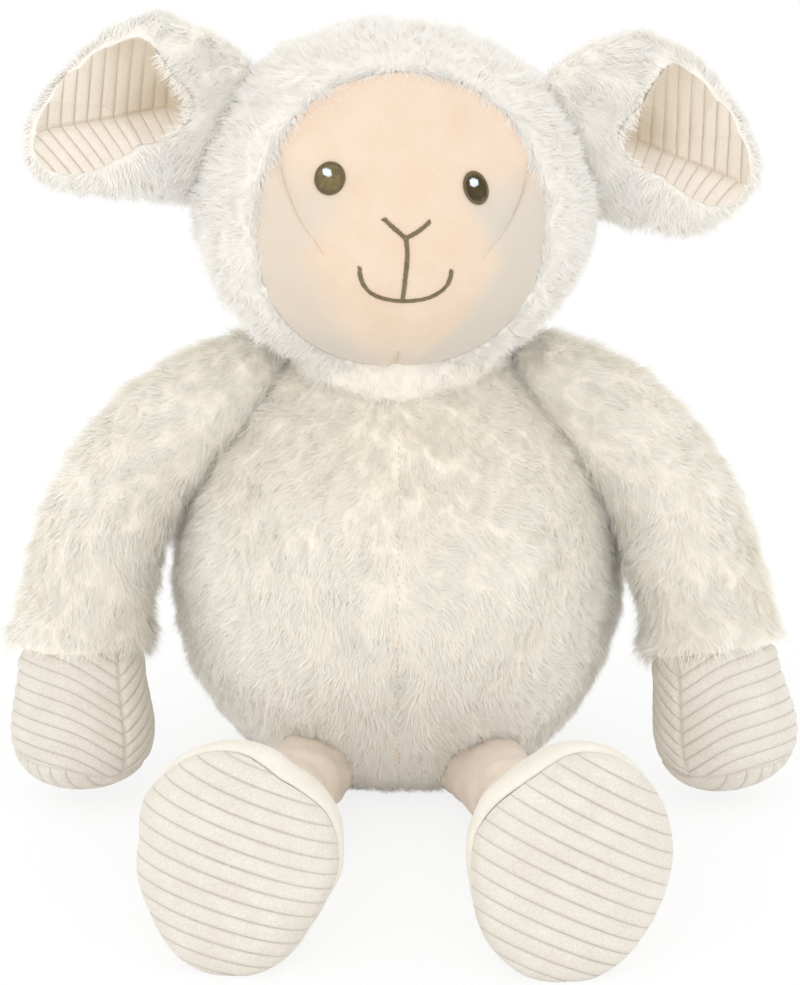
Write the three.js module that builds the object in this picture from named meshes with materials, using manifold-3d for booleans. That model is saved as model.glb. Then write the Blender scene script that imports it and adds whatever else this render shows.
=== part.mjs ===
// A seated plush sheep: pile cloth, velour and corduroy panels sewn round soft stuffing.
// Millimetres, +Z up. The sheep looks along -Y and its left side is at +X.
// The origin is the middle of the flat seat that it sits on.
import * as THREE from "three";
import { mergeVertices } from "three/addons/utils/BufferGeometryUtils.js";
import Module from "manifold-3d";

const wasm = await Module();
wasm.setup();

// Cloth thicknesses, and the space left between pieces that touch
const GAP = 0.3;
const OVERRUN = 12;
const SEAT_CUT = 0.5;
const PILE_CLOTH = 2.4;
const CORDUROY = 2.2;
const VELOUR = 1.6;

// The squat body, filled over a pouch of beads
const BODY = { halfWidth: 83, halfDepth: 77, height: 170, baseShare: 0.5, facets: 22 };
const BODY_PROFILE_SHARES = [
  [0, 0],
  [0.53, 0],
  [0.68, 0.026],
  [0.85, 0.11],
  [0.965, 0.25],
  [1, 0.38],
  [0.985, 0.5],
  [0.945, 0.594],
  [0.87, 0.7],
  [0.755, 0.794],
  [0.635, 0.87],
  [0.515, 0.93],
  [0.36, 0.97],
  [0, 1],
];
const POUCH = { halfWidth: 40, halfDepth: 36, height: 30, facets: 16 };
const POUCH_PROFILE_SHARES = [
  [0, 0],
  [0.86, 0],
  [1, 0.22],
  [0.93, 0.6],
  [0.6, 0.92],
  [0, 1],
];

// The neck is a ball of stuffing that the head turns and nods on
const NECK = { radius: 42, forward: 2, sunk: 7, rings: 10, facets: 20 };

const NECK_BAND_DEGREES = [-54, -36, -18, 0, 18, 36, 54];

// The head, which leans and turns a little to the sheep's left
const HEAD = {
  halfWidth: 71.5,
  halfDepth: 61,
  halfHeight: 62.5,
  sunk: 3.5,
  aside: -1.6,
  forward: 8,
  rollDegrees: 2.8,
  turnDegrees: 3.6,
  rings: 12,
  facets: 22,
};

// The velour face: one panel let into the pile hood
const FACE = { halfWidth: 48.5, halfHeight: 51.5 };
const FACE_OUTLINE_SHARES = [
  [0, 1.01],
  [0.28, 0.975],
  [0.56, 0.87],
  [0.88, 0.55],
  [1, 0.23],
  [0.99, -0.14],
  [0.88, -0.52],
  [0.64, -0.8],
  [0.3, -0.96],
  [0, -1],
];
const EYE = { out: 24.8, up: 20.9, halfWidth: 5.7, halfHeight: 6.1, thickness: 1.2, leanDegrees: 9 };
const EYE_FACETS = 14;
const EYE_PROFILE_SHARES = [
  [0, 0],
  [1, 0],
  [0.96, 0.5],
  [0.7, 0.88],
  [0, 1],
];
const MUZZLE = { threadRadius: 0.95, noseUp: 4.5, armOut: 8.2, armUp: 9.2, mouthUp: -20, smileOut: 16.2 };
const SMILE_SHARES = [
  [-1, 0.38],
  [-0.88, 0.68],
  [-0.5, 0.94],
  [0, 1],
  [0.5, 0.94],
  [0.88, 0.68],
  [1, 0.38],
];

// An ear: a pile scoop held out sideways, open at the front, with a corduroy lining
const EAR = { reach: 86, rootOut: 46, height: 66, bottom: -4, depth: 31, behind: 2, facets: 12 };
const EAR_STATION_SHARES = [
  [0, 0.4, 0.5, 0.5],
  [0.14, 0.44, 0.78, 0.7],
  [0.28, 0.48, 0.94, 0.84],
  [0.45, 0.505, 1, 0.97],
  [0.63, 0.46, 0.94, 1],
  [0.77, 0.385, 0.79, 0.94],
  [0.885, 0.32, 0.56, 0.77],
  [0.965, 0.3, 0.3, 0.52],
];
const EAR_TIP_SHARES = [1, 0.3];
const EAR_OPENING_SHARES = [
  [0.576, 0.88],
  [0.372, 0.53],
  [0.395, 0.455],
  [0.558, 0.326],
  [0.643, 0.227],
  [0.733, 0.144],
  [0.826, 0.121],
  [0.884, 0.136],
  [0.942, 0.242],
  [0.93, 0.333],
  [0.872, 0.5],
  [0.762, 0.682],
  [0.64, 0.826],
];
const EAR_SEAM = { topOut: 40, topUp: 52, bottomOut: 71.5 };
const EAR_FLAP_DEGREES = [-20, 0, 25];

// An arm: a pile sleeve from the shoulder to an open cuff, and a corduroy mitt below it
const SHOULDER = { out: 50, forward: 3, belowTop: 17 };
const ARM = { reach: 68, forward: 40.5, radius: 22.5, deepShare: 0.96, facets: 12, pawClearance: 6.2 };
const SLEEVE_STATION_SHARES = [
  [0, 0, 0, 0.66],
  [0.17, 0.05, 0.04, 0.8],
  [0.42, 0.12, 0.105, 0.89],
  [0.64, 0.22, 0.2, 0.93],
  [0.8, 0.35, 0.3, 0.955],
  [0.91, 0.49, 0.42, 0.98],
  [0.975, 0.67, 0.545, 0.98],
  [1, 0.79, 0.64, 1],
];
const PAW = { halfWidth: 26.5, deepShare: 0.9, gusset: 16, seamShare: 0.56 };
const MITT_STATION_SHARES = [
  [0.99, 0.72, 0.575, 0.6],
  [1, 0.78, 0.645, 0.66],
  [1, 0.83, 0.672, 0.845],
  [1, 0.9, 0.725, 0.89],
  [1, 0.95, 0.79, 0.955],
  [1, 0.98, 0.856, 1],
  [1, 1, 0.923, 0.935],
  [1, 1, 0.968, 0.73],
  [1, 1, 0.993, 0.42],
];
const ARM_SWAY = { left: { elbow: -5, paw: 9 }, right: { elbow: 0, paw: 0 } };
const ARM_SWING_DEGREES = [-35, -17, 0, 20, 40, 65, 90];

// A leg: a short velour tube to a foot with a velour upper and a corduroy sole
const HIP = { outShare: 0.33, forwardShare: 0.57, height: 14.7 };
const LEG = { radius: 14.5, flare: 1, facets: 10 };
const LEG_STATION_SHARES = [-0.12, 0.3, 0.7, 1.12];
const LEG_REACH = { left: { length: 93.5, aside: 28.6 }, right: { length: 91, aside: 25.3 } };
const HIP_LIFT_DEGREES = [0, 20, 40];
const FOOT = {
  halfWidth: 34.6,
  halfHeight: 38,
  thickness: 35,
  tiltDegrees: 16,
  toeOutDegrees: 5,
  facets: 18,
};
const FOOT_HEEL_SHARE = 0.16;
const FOOT_SEAM_SHARE = 0.66;
const FOOT_STATION_SHARES = [
  [0, 0.36],
  [0.06, 0.62],
  [0.17, 0.82],
  [0.32, 0.94],
  [0.5, 1],
  [0.66, 1],
  [0.8, 0.93],
  [0.91, 0.76],
  [0.97, 0.5],
];
const ANKLE_FLEX_DEGREES = [-20, 0, 20];

const SIDES = [
  { name: "left", sign: 1 },
  { name: "right", sign: -1 },
];

const COLOURS = {
  pile: 0xf2ede2,
  pileBase: 0xeae2d2,
  velour: 0xf8e4cd,
  velourLeg: 0xf0e4d6,
  corduroy: 0xefe8da,
  thread: 0x4a4236,
  stuffing: 0xfafaf6,
  beads: 0xd9dde0,
};

const point = (x, y, z) => new THREE.Vector3(x, y, z);
const radians = THREE.MathUtils.degToRad;

// Turns a closed geometry into a solid, whichever way round its faces were listed.
function toSolid(geometry) {
  const bare = new THREE.BufferGeometry().setAttribute("position", geometry.getAttribute("position"));
  bare.setIndex(geometry.index);
  const merged = mergeVertices(bare, 1e-4);
  const vertProperties = new Float32Array(merged.attributes.position.array);
  const triVerts = new Uint32Array(merged.index.array);
  const solid = new wasm.Manifold(new wasm.Mesh({ numProp: 3, vertProperties, triVerts }));
  if (solid.volume() > 0) return solid;
  return new wasm.Manifold(new wasm.Mesh({ numProp: 3, vertProperties, triVerts: triVerts.reverse() }));
}

function toGeometry(solid) {
  const mesh = solid.getMesh();
  const positions = new THREE.BufferAttribute(new Float32Array(mesh.vertProperties), mesh.numProp);
  const geometry = new THREE.BufferGeometry().setAttribute("position", positions);
  geometry.setIndex(new THREE.BufferAttribute(new Uint32Array(mesh.triVerts), 1));
  geometry.computeVertexNormals();
  return geometry;
}

// A closed form lofted through rings with equal counts, each end fanned to one point.
function loft(rings, firstEnd, lastEnd) {
  const sides = rings[0].length;
  const corners = [...rings.flat(), firstEnd, lastEnd];
  const first = corners.length - 2;
  const faces = [];
  for (let side = 0; side < sides; side += 1) {
    const next = (side + 1) % sides;
    for (let row = 0; row + 1 < rings.length; row += 1) {
      const [a, b] = [row * sides + side, row * sides + next];
      faces.push(a, b, b + sides, a, b + sides, a + sides);
    }
    const last = (rings.length - 1) * sides;
    faces.push(first, next, side, first + 1, last + side, last + next);
  }
  const positions = corners.flatMap((corner) => corner.toArray());
  const geometry = new THREE.BufferGeometry();
  geometry.setAttribute("position", new THREE.Float32BufferAttribute(positions, 3));
  return geometry.setIndex(faces);
}

const middleOf = (ring) => ring.reduce((sum, corner) => sum.add(corner), point(0, 0, 0)).divideScalar(ring.length);

// A turned form about +Z, from shares of a half width and a height, squashed in depth.
function turned(shares, { halfWidth, halfDepth, bottom, height, facets }) {
  const profile = shares.map(([out, up]) => new THREE.Vector2(out * halfWidth, bottom + up * height));
  const geometry = new THREE.LatheGeometry(profile, facets).rotateX(Math.PI / 2);
  return geometry.scale(1, halfDepth / halfWidth, 1);
}

// A straight-sided form that runs forwards, along -Y, from an outline in X and Z.
function forwardPrism(outline, depth) {
  const shape = new THREE.Shape(outline);
  return new THREE.ExtrudeGeometry(shape, { depth, bevelEnabled: false }).rotateX(Math.PI / 2);
}

function slab(low, high) {
  const size = high.clone().sub(low);
  const geometry = new THREE.BoxGeometry(size.x, size.y, size.z);
  const centre = low.clone().addScaledVector(size, 0.5);
  return toSolid(geometry.translate(centre.x, centre.y, centre.z));
}

// The part of a solid on one side of a plane across an axis.
function half(solid, axis, at, keepAbove) {
  const reach = 4 * BODY.height;
  const low = point(-reach, -reach, -reach);
  const high = point(reach, reach, reach);
  (keepAbove ? low : high)[axis] = at;
  return solid.intersect(slab(low, high));
}

const placed = (geometry, group) => geometry.clone().applyMatrix4(group.matrixWorld);

function turnedAbout(geometry, hinge, degrees) {
  const turn = new THREE.Matrix4().makeRotationAxis(hinge.axis, radians(degrees));
  const { x, y, z } = hinge.at;
  return geometry.clone().translate(-x, -y, -z).applyMatrix4(turn).translate(x, y, z);
}

// Cuts from a moving piece the room that its neighbour takes as the piece turns.
function clearWhileTurning(solid, neighbour, hinge, degrees) {
  return degrees.reduce(
    (kept, angle) => kept.subtract(toSolid(turnedAbout(neighbour, hinge, -angle))),
    solid,
  );
}

// Places an empty frame, in which meshes are then hung.
function frameIn(parent, at, rotation = new THREE.Euler()) {
  const group = new THREE.Group();
  group.position.copy(at);
  group.rotation.copy(rotation);
  parent.add(group);
  group.updateWorldMatrix(true, false);
  return group;
}

function hang(group, name, solid, color, roughness = 0.95) {
  const geometry = toGeometry(solid).applyMatrix4(group.matrixWorld.clone().invert());
  const mesh = new THREE.Mesh(geometry, new THREE.MeshStandardMaterial({ color, roughness, metalness: 0 }));
  mesh.name = name;
  group.add(mesh);
}

// Shared forms: each is grown by a negative inset and shrunk by a positive one
const bodyForm = (inset) =>
  turned(BODY_PROFILE_SHARES, {
    halfWidth: BODY.halfWidth - inset,
    halfDepth: BODY.halfDepth - inset,
    bottom: inset,
    height: BODY.height - 2 * inset,
    facets: BODY.facets,
  });

const neckCentre = point(0, -NECK.forward, BODY.height - NECK.sunk);

const neckBall = (inset) =>
  new THREE.SphereGeometry(NECK.radius - inset, NECK.facets, NECK.rings)
    .rotateX(Math.PI / 2)
    .translate(neckCentre.x, neckCentre.y, neckCentre.z);

// The hollow round the ball: its flat facets lie outside every turn of the ball's corners.
function neckSocket() {
  const halfFacet = Math.PI / NECK.facets;
  const radius = (NECK.radius + GAP) / Math.cos(halfFacet) ** 2;
  return new THREE.SphereGeometry(radius, NECK.facets, NECK.rings)
    .rotateX(Math.PI / 2)
    .rotateZ(halfFacet)
    .translate(neckCentre.x, neckCentre.y, neckCentre.z);
}

const headForm = (inset) =>
  new THREE.SphereGeometry(1, HEAD.facets, HEAD.rings)
    .rotateX(Math.PI / 2)
    .scale(HEAD.halfWidth - inset, HEAD.halfDepth - inset, HEAD.halfHeight - inset);

// A point on the front of the head, lifted off the face.
function onFace(x, z, lift) {
  const wide = x / (HEAD.halfWidth + lift);
  const tall = z / (HEAD.halfHeight + lift);
  return point(x, -(HEAD.halfDepth + lift) * Math.sqrt(1 - wide * wide - tall * tall), z);
}

function addBody(sheep) {
  const torso = frameIn(sheep, point(0, 0, 0));
  const skin = toSolid(bodyForm(0)).subtract(toSolid(bodyForm(PILE_CLOTH)));
  const baseCutter = (clearance) => {
    const radius = BODY.baseShare * BODY.halfWidth + clearance;
    const drum = new THREE.CylinderGeometry(radius, radius, 2 * (PILE_CLOTH + GAP), BODY.facets);
    return toSolid(drum.rotateX(Math.PI / 2).scale(1, BODY.halfDepth / BODY.halfWidth, 1));
  };
  const socket = toSolid(neckSocket());
  const cover = skin.subtract(baseCutter(GAP)).subtract(socket);
  const seam = GAP / 2;
  const quarters = [
    ["body_front_left_panel", true, false],
    ["body_front_right_panel", false, false],
    ["body_back_left_panel", true, true],
    ["body_back_right_panel", false, true],
  ];
  for (const [name, isLeft, isBack] of quarters) {
    const side = half(cover, "x", isLeft ? seam : -seam, isLeft);
    hang(torso, name, half(side, "y", isBack ? seam : -seam, isBack), COLOURS.pile);
  }
  hang(torso, "body_base_panel", skin.intersect(baseCutter(0)), COLOURS.pileBase);
  const pouch = (clearance) =>
    toSolid(
      turned(POUCH_PROFILE_SHARES, {
        halfWidth: POUCH.halfWidth + clearance,
        halfDepth: POUCH.halfDepth + clearance,
        bottom: PILE_CLOTH + GAP - clearance,
        height: POUCH.height + 2 * clearance,
        facets: POUCH.facets,
      }),
    );
  hang(torso, "bead_pouch", pouch(0), COLOURS.beads);
  const filling = toSolid(bodyForm(PILE_CLOTH + GAP)).subtract(socket);
  hang(torso, "body_stuffing", filling.subtract(pouch(GAP)), COLOURS.stuffing);
}

function addNeck(sheep) {
  const neck = frameIn(sheep, neckCentre);
  const arc = (radius) =>
    NECK_BAND_DEGREES.map((up) => {
      const angle = radians(up);
      return new THREE.Vector2(radius * Math.cos(angle), radius * Math.sin(angle));
    });
  const outer = arc(NECK.radius);
  const profile = [...outer, ...arc(NECK.radius - PILE_CLOTH).reverse(), outer[0]];
  const band = new THREE.LatheGeometry(profile, NECK.facets).rotateX(Math.PI / 2);
  hang(neck, "neck_band", toSolid(placed(band, neck)), COLOURS.pile);
  hang(neck, "neck_stuffing", toSolid(neckBall(PILE_CLOTH + GAP)), COLOURS.stuffing);
  return neck;
}

function facePrism(clearance) {
  const rightHalf = FACE_OUTLINE_SHARES.slice(1, -1).reverse();
  const around = [...FACE_OUTLINE_SHARES, ...rightHalf.map(([out, up]) => [-out, up])];
  const outline = around.map(
    ([out, up]) => new THREE.Vector2(out * (FACE.halfWidth + clearance), up * (FACE.halfHeight + clearance)),
  );
  return forwardPrism(outline, HEAD.halfDepth + OVERRUN);
}

function eyeGeometry(sign) {
  const centre = onFace(sign * EYE.out, EYE.up, GAP);
  const profile = EYE_PROFILE_SHARES.map(([out, up]) => new THREE.Vector2(out, up * EYE.thickness));
  const lens = new THREE.LatheGeometry(profile, EYE_FACETS).rotateX(Math.PI / 2);
  lens.scale(EYE.halfWidth, EYE.halfHeight, 1).rotateZ(radians(sign * EYE.leanDegrees));
  const normal = point(
    centre.x / HEAD.halfWidth ** 2,
    centre.y / HEAD.halfDepth ** 2,
    centre.z / HEAD.halfHeight ** 2,
  ).normalize();
  lens.applyQuaternion(new THREE.Quaternion().setFromUnitVectors(point(0, 0, 1), normal));
  return lens.translate(centre.x, centre.y, centre.z);
}

// The nose, the line below it and the smile, as one raised run of thread.
function muzzleSolid(head) {
  const lift = GAP + MUZZLE.threadRadius;
  const section = new THREE.Shape().absarc(0, 0, MUZZLE.threadRadius, 0, 2 * Math.PI);
  const strand = (places, steps) => {
    const path = new THREE.CatmullRomCurve3(places.map(([x, z]) => onFace(x, z, lift)));
    const options = { steps, extrudePath: path, curveSegments: 3, bevelEnabled: false };
    return toSolid(placed(new THREE.ExtrudeGeometry(section, options), head));
  };
  const { noseUp, armOut, armUp, mouthUp, smileOut } = MUZZLE;
  const tip = (sign) => [
    [sign * armOut, armUp],
    [0, noseUp],
  ];
  const bridge = [
    [0, noseUp + MUZZLE.threadRadius],
    [0, mouthUp / 2],
    [0, mouthUp],
  ];
  const smile = SMILE_SHARES.map(([out, up]) => [out * smileOut, up * mouthUp]);
  return strand(tip(1), 3).add(strand(tip(-1), 3)).add(strand(bridge, 5)).add(strand(smile, 10));
}

function addHead(neck) {
  const centre = point(HEAD.aside, NECK.forward - HEAD.forward, HEAD.halfHeight - HEAD.sunk);
  const lean = new THREE.Euler(0, radians(HEAD.rollDegrees), radians(HEAD.turnDegrees), "YXZ");
  const head = frameIn(neck, centre, lean);
  const form = (inset) => toSolid(placed(headForm(inset), head));
  const prism = (clearance) => toSolid(placed(facePrism(clearance), head));
  const socket = toSolid(neckSocket());
  const skin = form(0).subtract(form(PILE_CLOTH)).subtract(socket);
  const hood = skin.subtract(prism(GAP));
  for (const { name, sign } of SIDES) {
    const panel = half(hood, "x", HEAD.aside + (sign * GAP) / 2, sign > 0);
    hang(head, `hood_${name}_panel`, panel, COLOURS.pile);
  }
  hang(head, "face_panel", skin.intersect(prism(0)), COLOURS.velour);
  hang(head, "head_stuffing", form(PILE_CLOTH + GAP).subtract(socket), COLOURS.stuffing);
  for (const { name, sign } of SIDES) {
    hang(head, `${name}_eye`, toSolid(placed(eyeGeometry(sign), head)), COLOURS.thread, 0.5);
  }
  hang(head, "nose_and_mouth_stitching", muzzleSolid(head), COLOURS.thread, 0.6);
  return head;
}

// The scoop's form, as rings across its reach, in the head's own frame.
function earForm(inset, sign) {
  const ring = ([out, up, tall, deep]) => {
    const centre = point(EAR.rootOut + out * EAR.reach, EAR.behind, EAR.bottom + up * EAR.height);
    const halfTall = (tall * EAR.height) / 2 - inset;
    const halfDeep = (deep * EAR.depth) / 2 - inset;
    return Array.from({ length: EAR.facets }, (_, facet) => {
      const angle = (2 * Math.PI * facet) / EAR.facets;
      return point(
        sign * centre.x,
        centre.y + halfDeep * Math.sin(angle),
        centre.z + halfTall * Math.cos(angle),
      );
    });
  };
  const rings = EAR_STATION_SHARES.map(ring);
  const [tipOut, tipUp] = EAR_TIP_SHARES;
  const tip = point(
    sign * (EAR.rootOut + tipOut * EAR.reach - inset),
    EAR.behind,
    EAR.bottom + tipUp * EAR.height,
  );
  return loft(rings, middleOf(rings[0]), tip);
}

function earOpening(sign) {
  const outline = EAR_OPENING_SHARES.map(
    ([out, up]) => new THREE.Vector2(sign * (EAR.rootOut + out * EAR.reach), EAR.bottom + up * EAR.height),
  );
  return forwardPrism(outline, EAR.depth).translate(0, EAR.behind, 0);
}

function addEar(head, { name, sign }) {
  const seamMiddle = point(
    (sign * (EAR_SEAM.topOut + EAR_SEAM.bottomOut)) / 2,
    EAR.behind,
    EAR_SEAM.topUp / 2,
  );
  const ear = frameIn(head, seamMiddle);
  const seamRun = point(sign * (EAR_SEAM.topOut - EAR_SEAM.bottomOut), 0, EAR_SEAM.topUp);
  const hinge = {
    at: head.localToWorld(seamMiddle.clone()),
    axis: seamRun.transformDirection(head.matrixWorld),
  };
  const form = (inset) => toSolid(placed(earForm(inset, sign), head));
  const opening = toSolid(placed(earOpening(sign), head));
  const inwards = EAR.rootOut + EAR_OPENING_SHARES[1][0] * EAR.reach;
  const hollowBox = new THREE.BoxGeometry(EAR.reach, 2 * EAR.depth, 2 * EAR.height);
  hollowBox.translate(sign * (inwards + EAR.reach / 2 - PILE_CLOTH), 0, EAR.height / 2);
  const outerPart = toSolid(placed(hollowBox, head));
  const hollow = form(PILE_CLOTH).intersect(outerPart);
  const grownHead = placed(headForm(-GAP), head);
  const turns = EAR_FLAP_DEGREES.map((angle) => -sign * angle);
  const scoop = clearWhileTurning(form(0).subtract(hollow).subtract(opening), grownHead, hinge, turns);
  hang(ear, `${name}_ear`, scoop, COLOURS.pile);
  const innerBox = hollowBox.clone().translate(sign * (CORDUROY + GAP), 0, 0);
  const liningSkin = form(PILE_CLOTH + GAP).intersect(toSolid(placed(hollowBox.translate(sign * GAP, 0, 0), head)));
  const liningHollow = form(PILE_CLOTH + GAP + CORDUROY).intersect(toSolid(placed(innerBox, head)));
  hang(ear, `${name}_ear_lining`, liningSkin.subtract(liningHollow).subtract(opening), COLOURS.corduroy);
}

// Rings across a limb that hangs from the shoulder, from shares of its reach, swing and drop.
function armRings(shares, side, radius, deepShare, inset) {
  const drop = BODY.height - SHOULDER.belowTop - ARM.pawClearance;
  const sway = ARM_SWAY[side.name];
  const centres = shares.map(([out, forward, down]) => {
    const aside = sway.elbow * Math.sin(Math.PI * down) + sway.paw * down * down;
    return point(
      side.sign * (SHOULDER.out + out * ARM.reach + aside),
      -SHOULDER.forward - forward * ARM.forward,
      BODY.height - SHOULDER.belowTop - down * drop,
    );
  });
  return centres.map((centre, row) => {
    const before = centres[Math.max(row - 1, 0)];
    const after = centres[Math.min(row + 1, centres.length - 1)];
    const along = after.clone().sub(before).normalize();
    const across = point(0, 1, 0).cross(along).normalize();
    const deep = along.clone().cross(across);
    const wide = shares[row][3] * radius - inset;
    return Array.from({ length: ARM.facets }, (_, facet) => {
      const angle = (2 * Math.PI * facet) / ARM.facets;
      return centre
        .clone()
        .addScaledVector(across, wide * Math.cos(angle))
        .addScaledVector(deep, deepShare * wide * Math.sin(angle));
    });
  });
}

// The middle of a ring, moved on past it along the limb.
function beyond(rings, row, inner, distance) {
  const end = middleOf(rings[row]);
  const along = end.clone().sub(middleOf(rings[inner])).normalize();
  return end.addScaledVector(along, distance);
}

function sleeveForm(side, inset, pastCuff) {
  const rings = armRings(SLEEVE_STATION_SHARES, side, ARM.radius, ARM.deepShare, inset);
  const last = rings.length - 1;
  const cuffMiddle = middleOf(rings[last]);
  const onward = beyond(rings, last, last - 1, pastCuff).sub(cuffMiddle);
  rings.push(rings[last].map((corner) => corner.clone().add(onward)));
  const shoulderDome = ARM.radius * SLEEVE_STATION_SHARES[0][3] * (1 - ARM.deepShare / 2) - inset;
  return loft(rings, beyond(rings, 0, 1, shoulderDome), middleOf(rings[last + 1]));
}

// The mitt's rings, and the point on its underside that closes them.
function mittShape(side, inset) {
  const rings = armRings(MITT_STATION_SHARES, side, PAW.halfWidth, PAW.deepShare, inset);
  const lowest = rings[rings.length - 1];
  const bottom = middleOf(lowest);
  bottom.z = ARM.pawClearance + inset;
  for (const corner of lowest) corner.z = Math.max(corner.z, bottom.z);
  return { rings, bottom };
}

function mittForm(side, inset, pastWrist) {
  const { rings, bottom } = mittShape(side, inset);
  return loft(rings, beyond(rings, 0, 1, pastWrist), bottom);
}

// The filling, which fits the sleeve as far as the wrist and the mitt below it.
function armFilling(side) {
  const inSleeve = SLEEVE_STATION_SHARES.slice(0, -1);
  const upper = armRings(inSleeve, side, ARM.radius, ARM.deepShare, PILE_CLOTH + GAP);
  const lower = mittShape(side, CORDUROY + GAP);
  const filling = toSolid(loft([...upper, ...lower.rings], middleOf(upper[0]), lower.bottom));
  return half(filling, "z", ARM.pawClearance + CORDUROY + 3 * GAP, true);
}

function addArm(sheep, side) {
  const { name, sign } = side;
  const shoulder = point(sign * SHOULDER.out, -SHOULDER.forward, BODY.height - SHOULDER.belowTop);
  const arm = frameIn(sheep, shoulder);
  const hinge = { at: shoulder, axis: point(1, 0, 0) };
  const swings = ARM_SWING_DEGREES.map((angle) => -angle);
  const clear = (solid, room) => {
    const offBody = clearWhileTurning(solid, bodyForm(-room), hinge, swings);
    return clearWhileTurning(offBody, neckBall(-room), hinge, swings);
  };
  const tube = toSolid(sleeveForm(side, 0, GAP)).subtract(toSolid(sleeveForm(side, PILE_CLOTH, OVERRUN)));
  hang(arm, `${name}_sleeve`, clear(tube, GAP), COLOURS.pile);
  const mitt = toSolid(mittForm(side, 0, 0)).subtract(toSolid(mittForm(side, CORDUROY, OVERRUN)));
  const gusset = PAW.gusset;
  const wall = half(mitt, "z", gusset + GAP / 2, true);
  const seam = sign * (SHOULDER.out + ARM.reach - PAW.seamShare * PAW.halfWidth) + ARM_SWAY[name].paw / 2;
  hang(arm, `${name}_mitt_outer_panel`, half(wall, "x", seam + (sign * GAP) / 2, sign > 0), COLOURS.corduroy);
  hang(arm, `${name}_mitt_inner_panel`, half(wall, "x", seam - (sign * GAP) / 2, sign < 0), COLOURS.corduroy);
  hang(arm, `${name}_mitt_gusset`, half(mitt, "z", gusset - GAP / 2, false), COLOURS.corduroy);
  hang(arm, `${name}_arm_stuffing`, clear(armFilling(side), PILE_CLOTH + 2 * GAP), COLOURS.stuffing);
}

// The foot's form, from its back at the ankle to the front of its sole along -Y.
function footForm(inset) {
  const rings = FOOT_STATION_SHARES.map(([forward, full]) =>
    Array.from({ length: FOOT.facets }, (_, facet) => {
      const angle = (2 * Math.PI * facet) / FOOT.facets;
      const narrowing = 1 - FOOT_HEEL_SHARE * Math.max(-Math.sin(angle), 0);
      return point(
        full * (FOOT.halfWidth - inset) * Math.cos(angle) * narrowing,
        -inset - forward * (FOOT.thickness - 2 * inset),
        full * (FOOT.halfHeight - inset) * Math.sin(angle),
      );
    }),
  );
  return loft(rings, point(0, -inset, 0), point(0, inset - FOOT.thickness, 0));
}

// How far the ankle stands above the seat, so that the heel rests on it.
function ankleHeight() {
  const leaning = footForm(0).rotateX(-radians(FOOT.tiltDegrees));
  leaning.computeBoundingBox();
  return -leaning.boundingBox.min.z - SEAT_CUT;
}

function legForm(hip, ankle, inset) {
  const run = ankle.clone().sub(hip);
  const along = run.clone().normalize();
  const across = along.clone().cross(point(0, 0, 1)).normalize();
  const up = across.clone().cross(along);
  const rings = LEG_STATION_SHARES.map((share) => {
    const centre = hip.clone().addScaledVector(run, share);
    const radius = LEG.radius + LEG.flare * share - inset;
    return Array.from({ length: LEG.facets }, (_, facet) => {
      const angle = (2 * Math.PI * facet) / LEG.facets;
      return centre
        .clone()
        .addScaledVector(across, radius * Math.cos(angle))
        .addScaledVector(up, radius * Math.sin(angle));
    });
  });
  return loft(rings, middleOf(rings[0]), middleOf(rings[rings.length - 1]));
}

function addLegAndFoot(sheep, { name, sign }) {
  const reach = LEG_REACH[name];
  const hipPoint = point(sign * HIP.outShare * BODY.halfWidth, -HIP.forwardShare * BODY.halfDepth, HIP.height);
  const anklePoint = point(
    hipPoint.x + sign * reach.aside,
    hipPoint.y - reach.length,
    ankleHeight(),
  );
  const leg = frameIn(sheep, hipPoint);
  const lean = new THREE.Euler(-radians(FOOT.tiltDegrees), 0, sign * radians(FOOT.toeOutDegrees), "ZYX");
  const foot = frameIn(leg, anklePoint.clone().sub(hipPoint), lean);
  const hipHinge = { at: hipPoint, axis: point(1, 0, 0) };
  const ankleHinge = { at: anklePoint, axis: point(1, 0, 0) };
  const lifts = HIP_LIFT_DEGREES.map((angle) => -angle);
  const flexes = ANKLE_FLEX_DEGREES;
  const clear = (solid, clearance) => {
    const grownFoot = placed(footForm(-clearance), foot);
    const offBody = clearWhileTurning(solid, bodyForm(-clearance), hipHinge, lifts);
    return clearWhileTurning(offBody, grownFoot, ankleHinge, flexes);
  };
  const outer = toSolid(legForm(hipPoint, anklePoint, 0));
  const bore = toSolid(legForm(hipPoint, anklePoint, VELOUR));
  hang(leg, `${name}_leg`, clear(outer, GAP).subtract(bore), COLOURS.velourLeg);
  const filling = toSolid(legForm(hipPoint, anklePoint, VELOUR + GAP));
  hang(leg, `${name}_leg_stuffing`, clear(filling, VELOUR), COLOURS.stuffing);
  const form = (inset) => half(toSolid(placed(footForm(inset), foot)), "z", inset, true);
  const skin = form(0).subtract(form(CORDUROY));
  const seamBox = new THREE.BoxGeometry(4 * FOOT.halfWidth, 2 * FOOT.thickness, 4 * FOOT.halfHeight);
  const soleBox = (clearance) => {
    const front = seamBox.clone().translate(0, -(1 + FOOT_SEAM_SHARE) * FOOT.thickness + clearance, 0);
    return toSolid(placed(front, foot));
  };
  hang(foot, `${name}_foot_upper`, skin.subtract(soleBox(GAP / 2)), COLOURS.velourLeg);
  hang(foot, `${name}_sole`, skin.intersect(soleBox(-GAP / 2)), COLOURS.corduroy);
  hang(foot, `${name}_foot_stuffing`, form(CORDUROY + GAP), COLOURS.stuffing);
}

const sheep = new THREE.Group();
addBody(sheep);
const neck = addNeck(sheep);
const head = addHead(neck);
for (const side of SIDES) {
  addEar(head, side);
  addArm(sheep, side);
  addLegAndFoot(sheep, side);
}

export default sheep;
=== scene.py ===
"""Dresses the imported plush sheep: stuffed skins, combed pile, ribbed corduroy, velour and embroidery."""

import math

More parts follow.
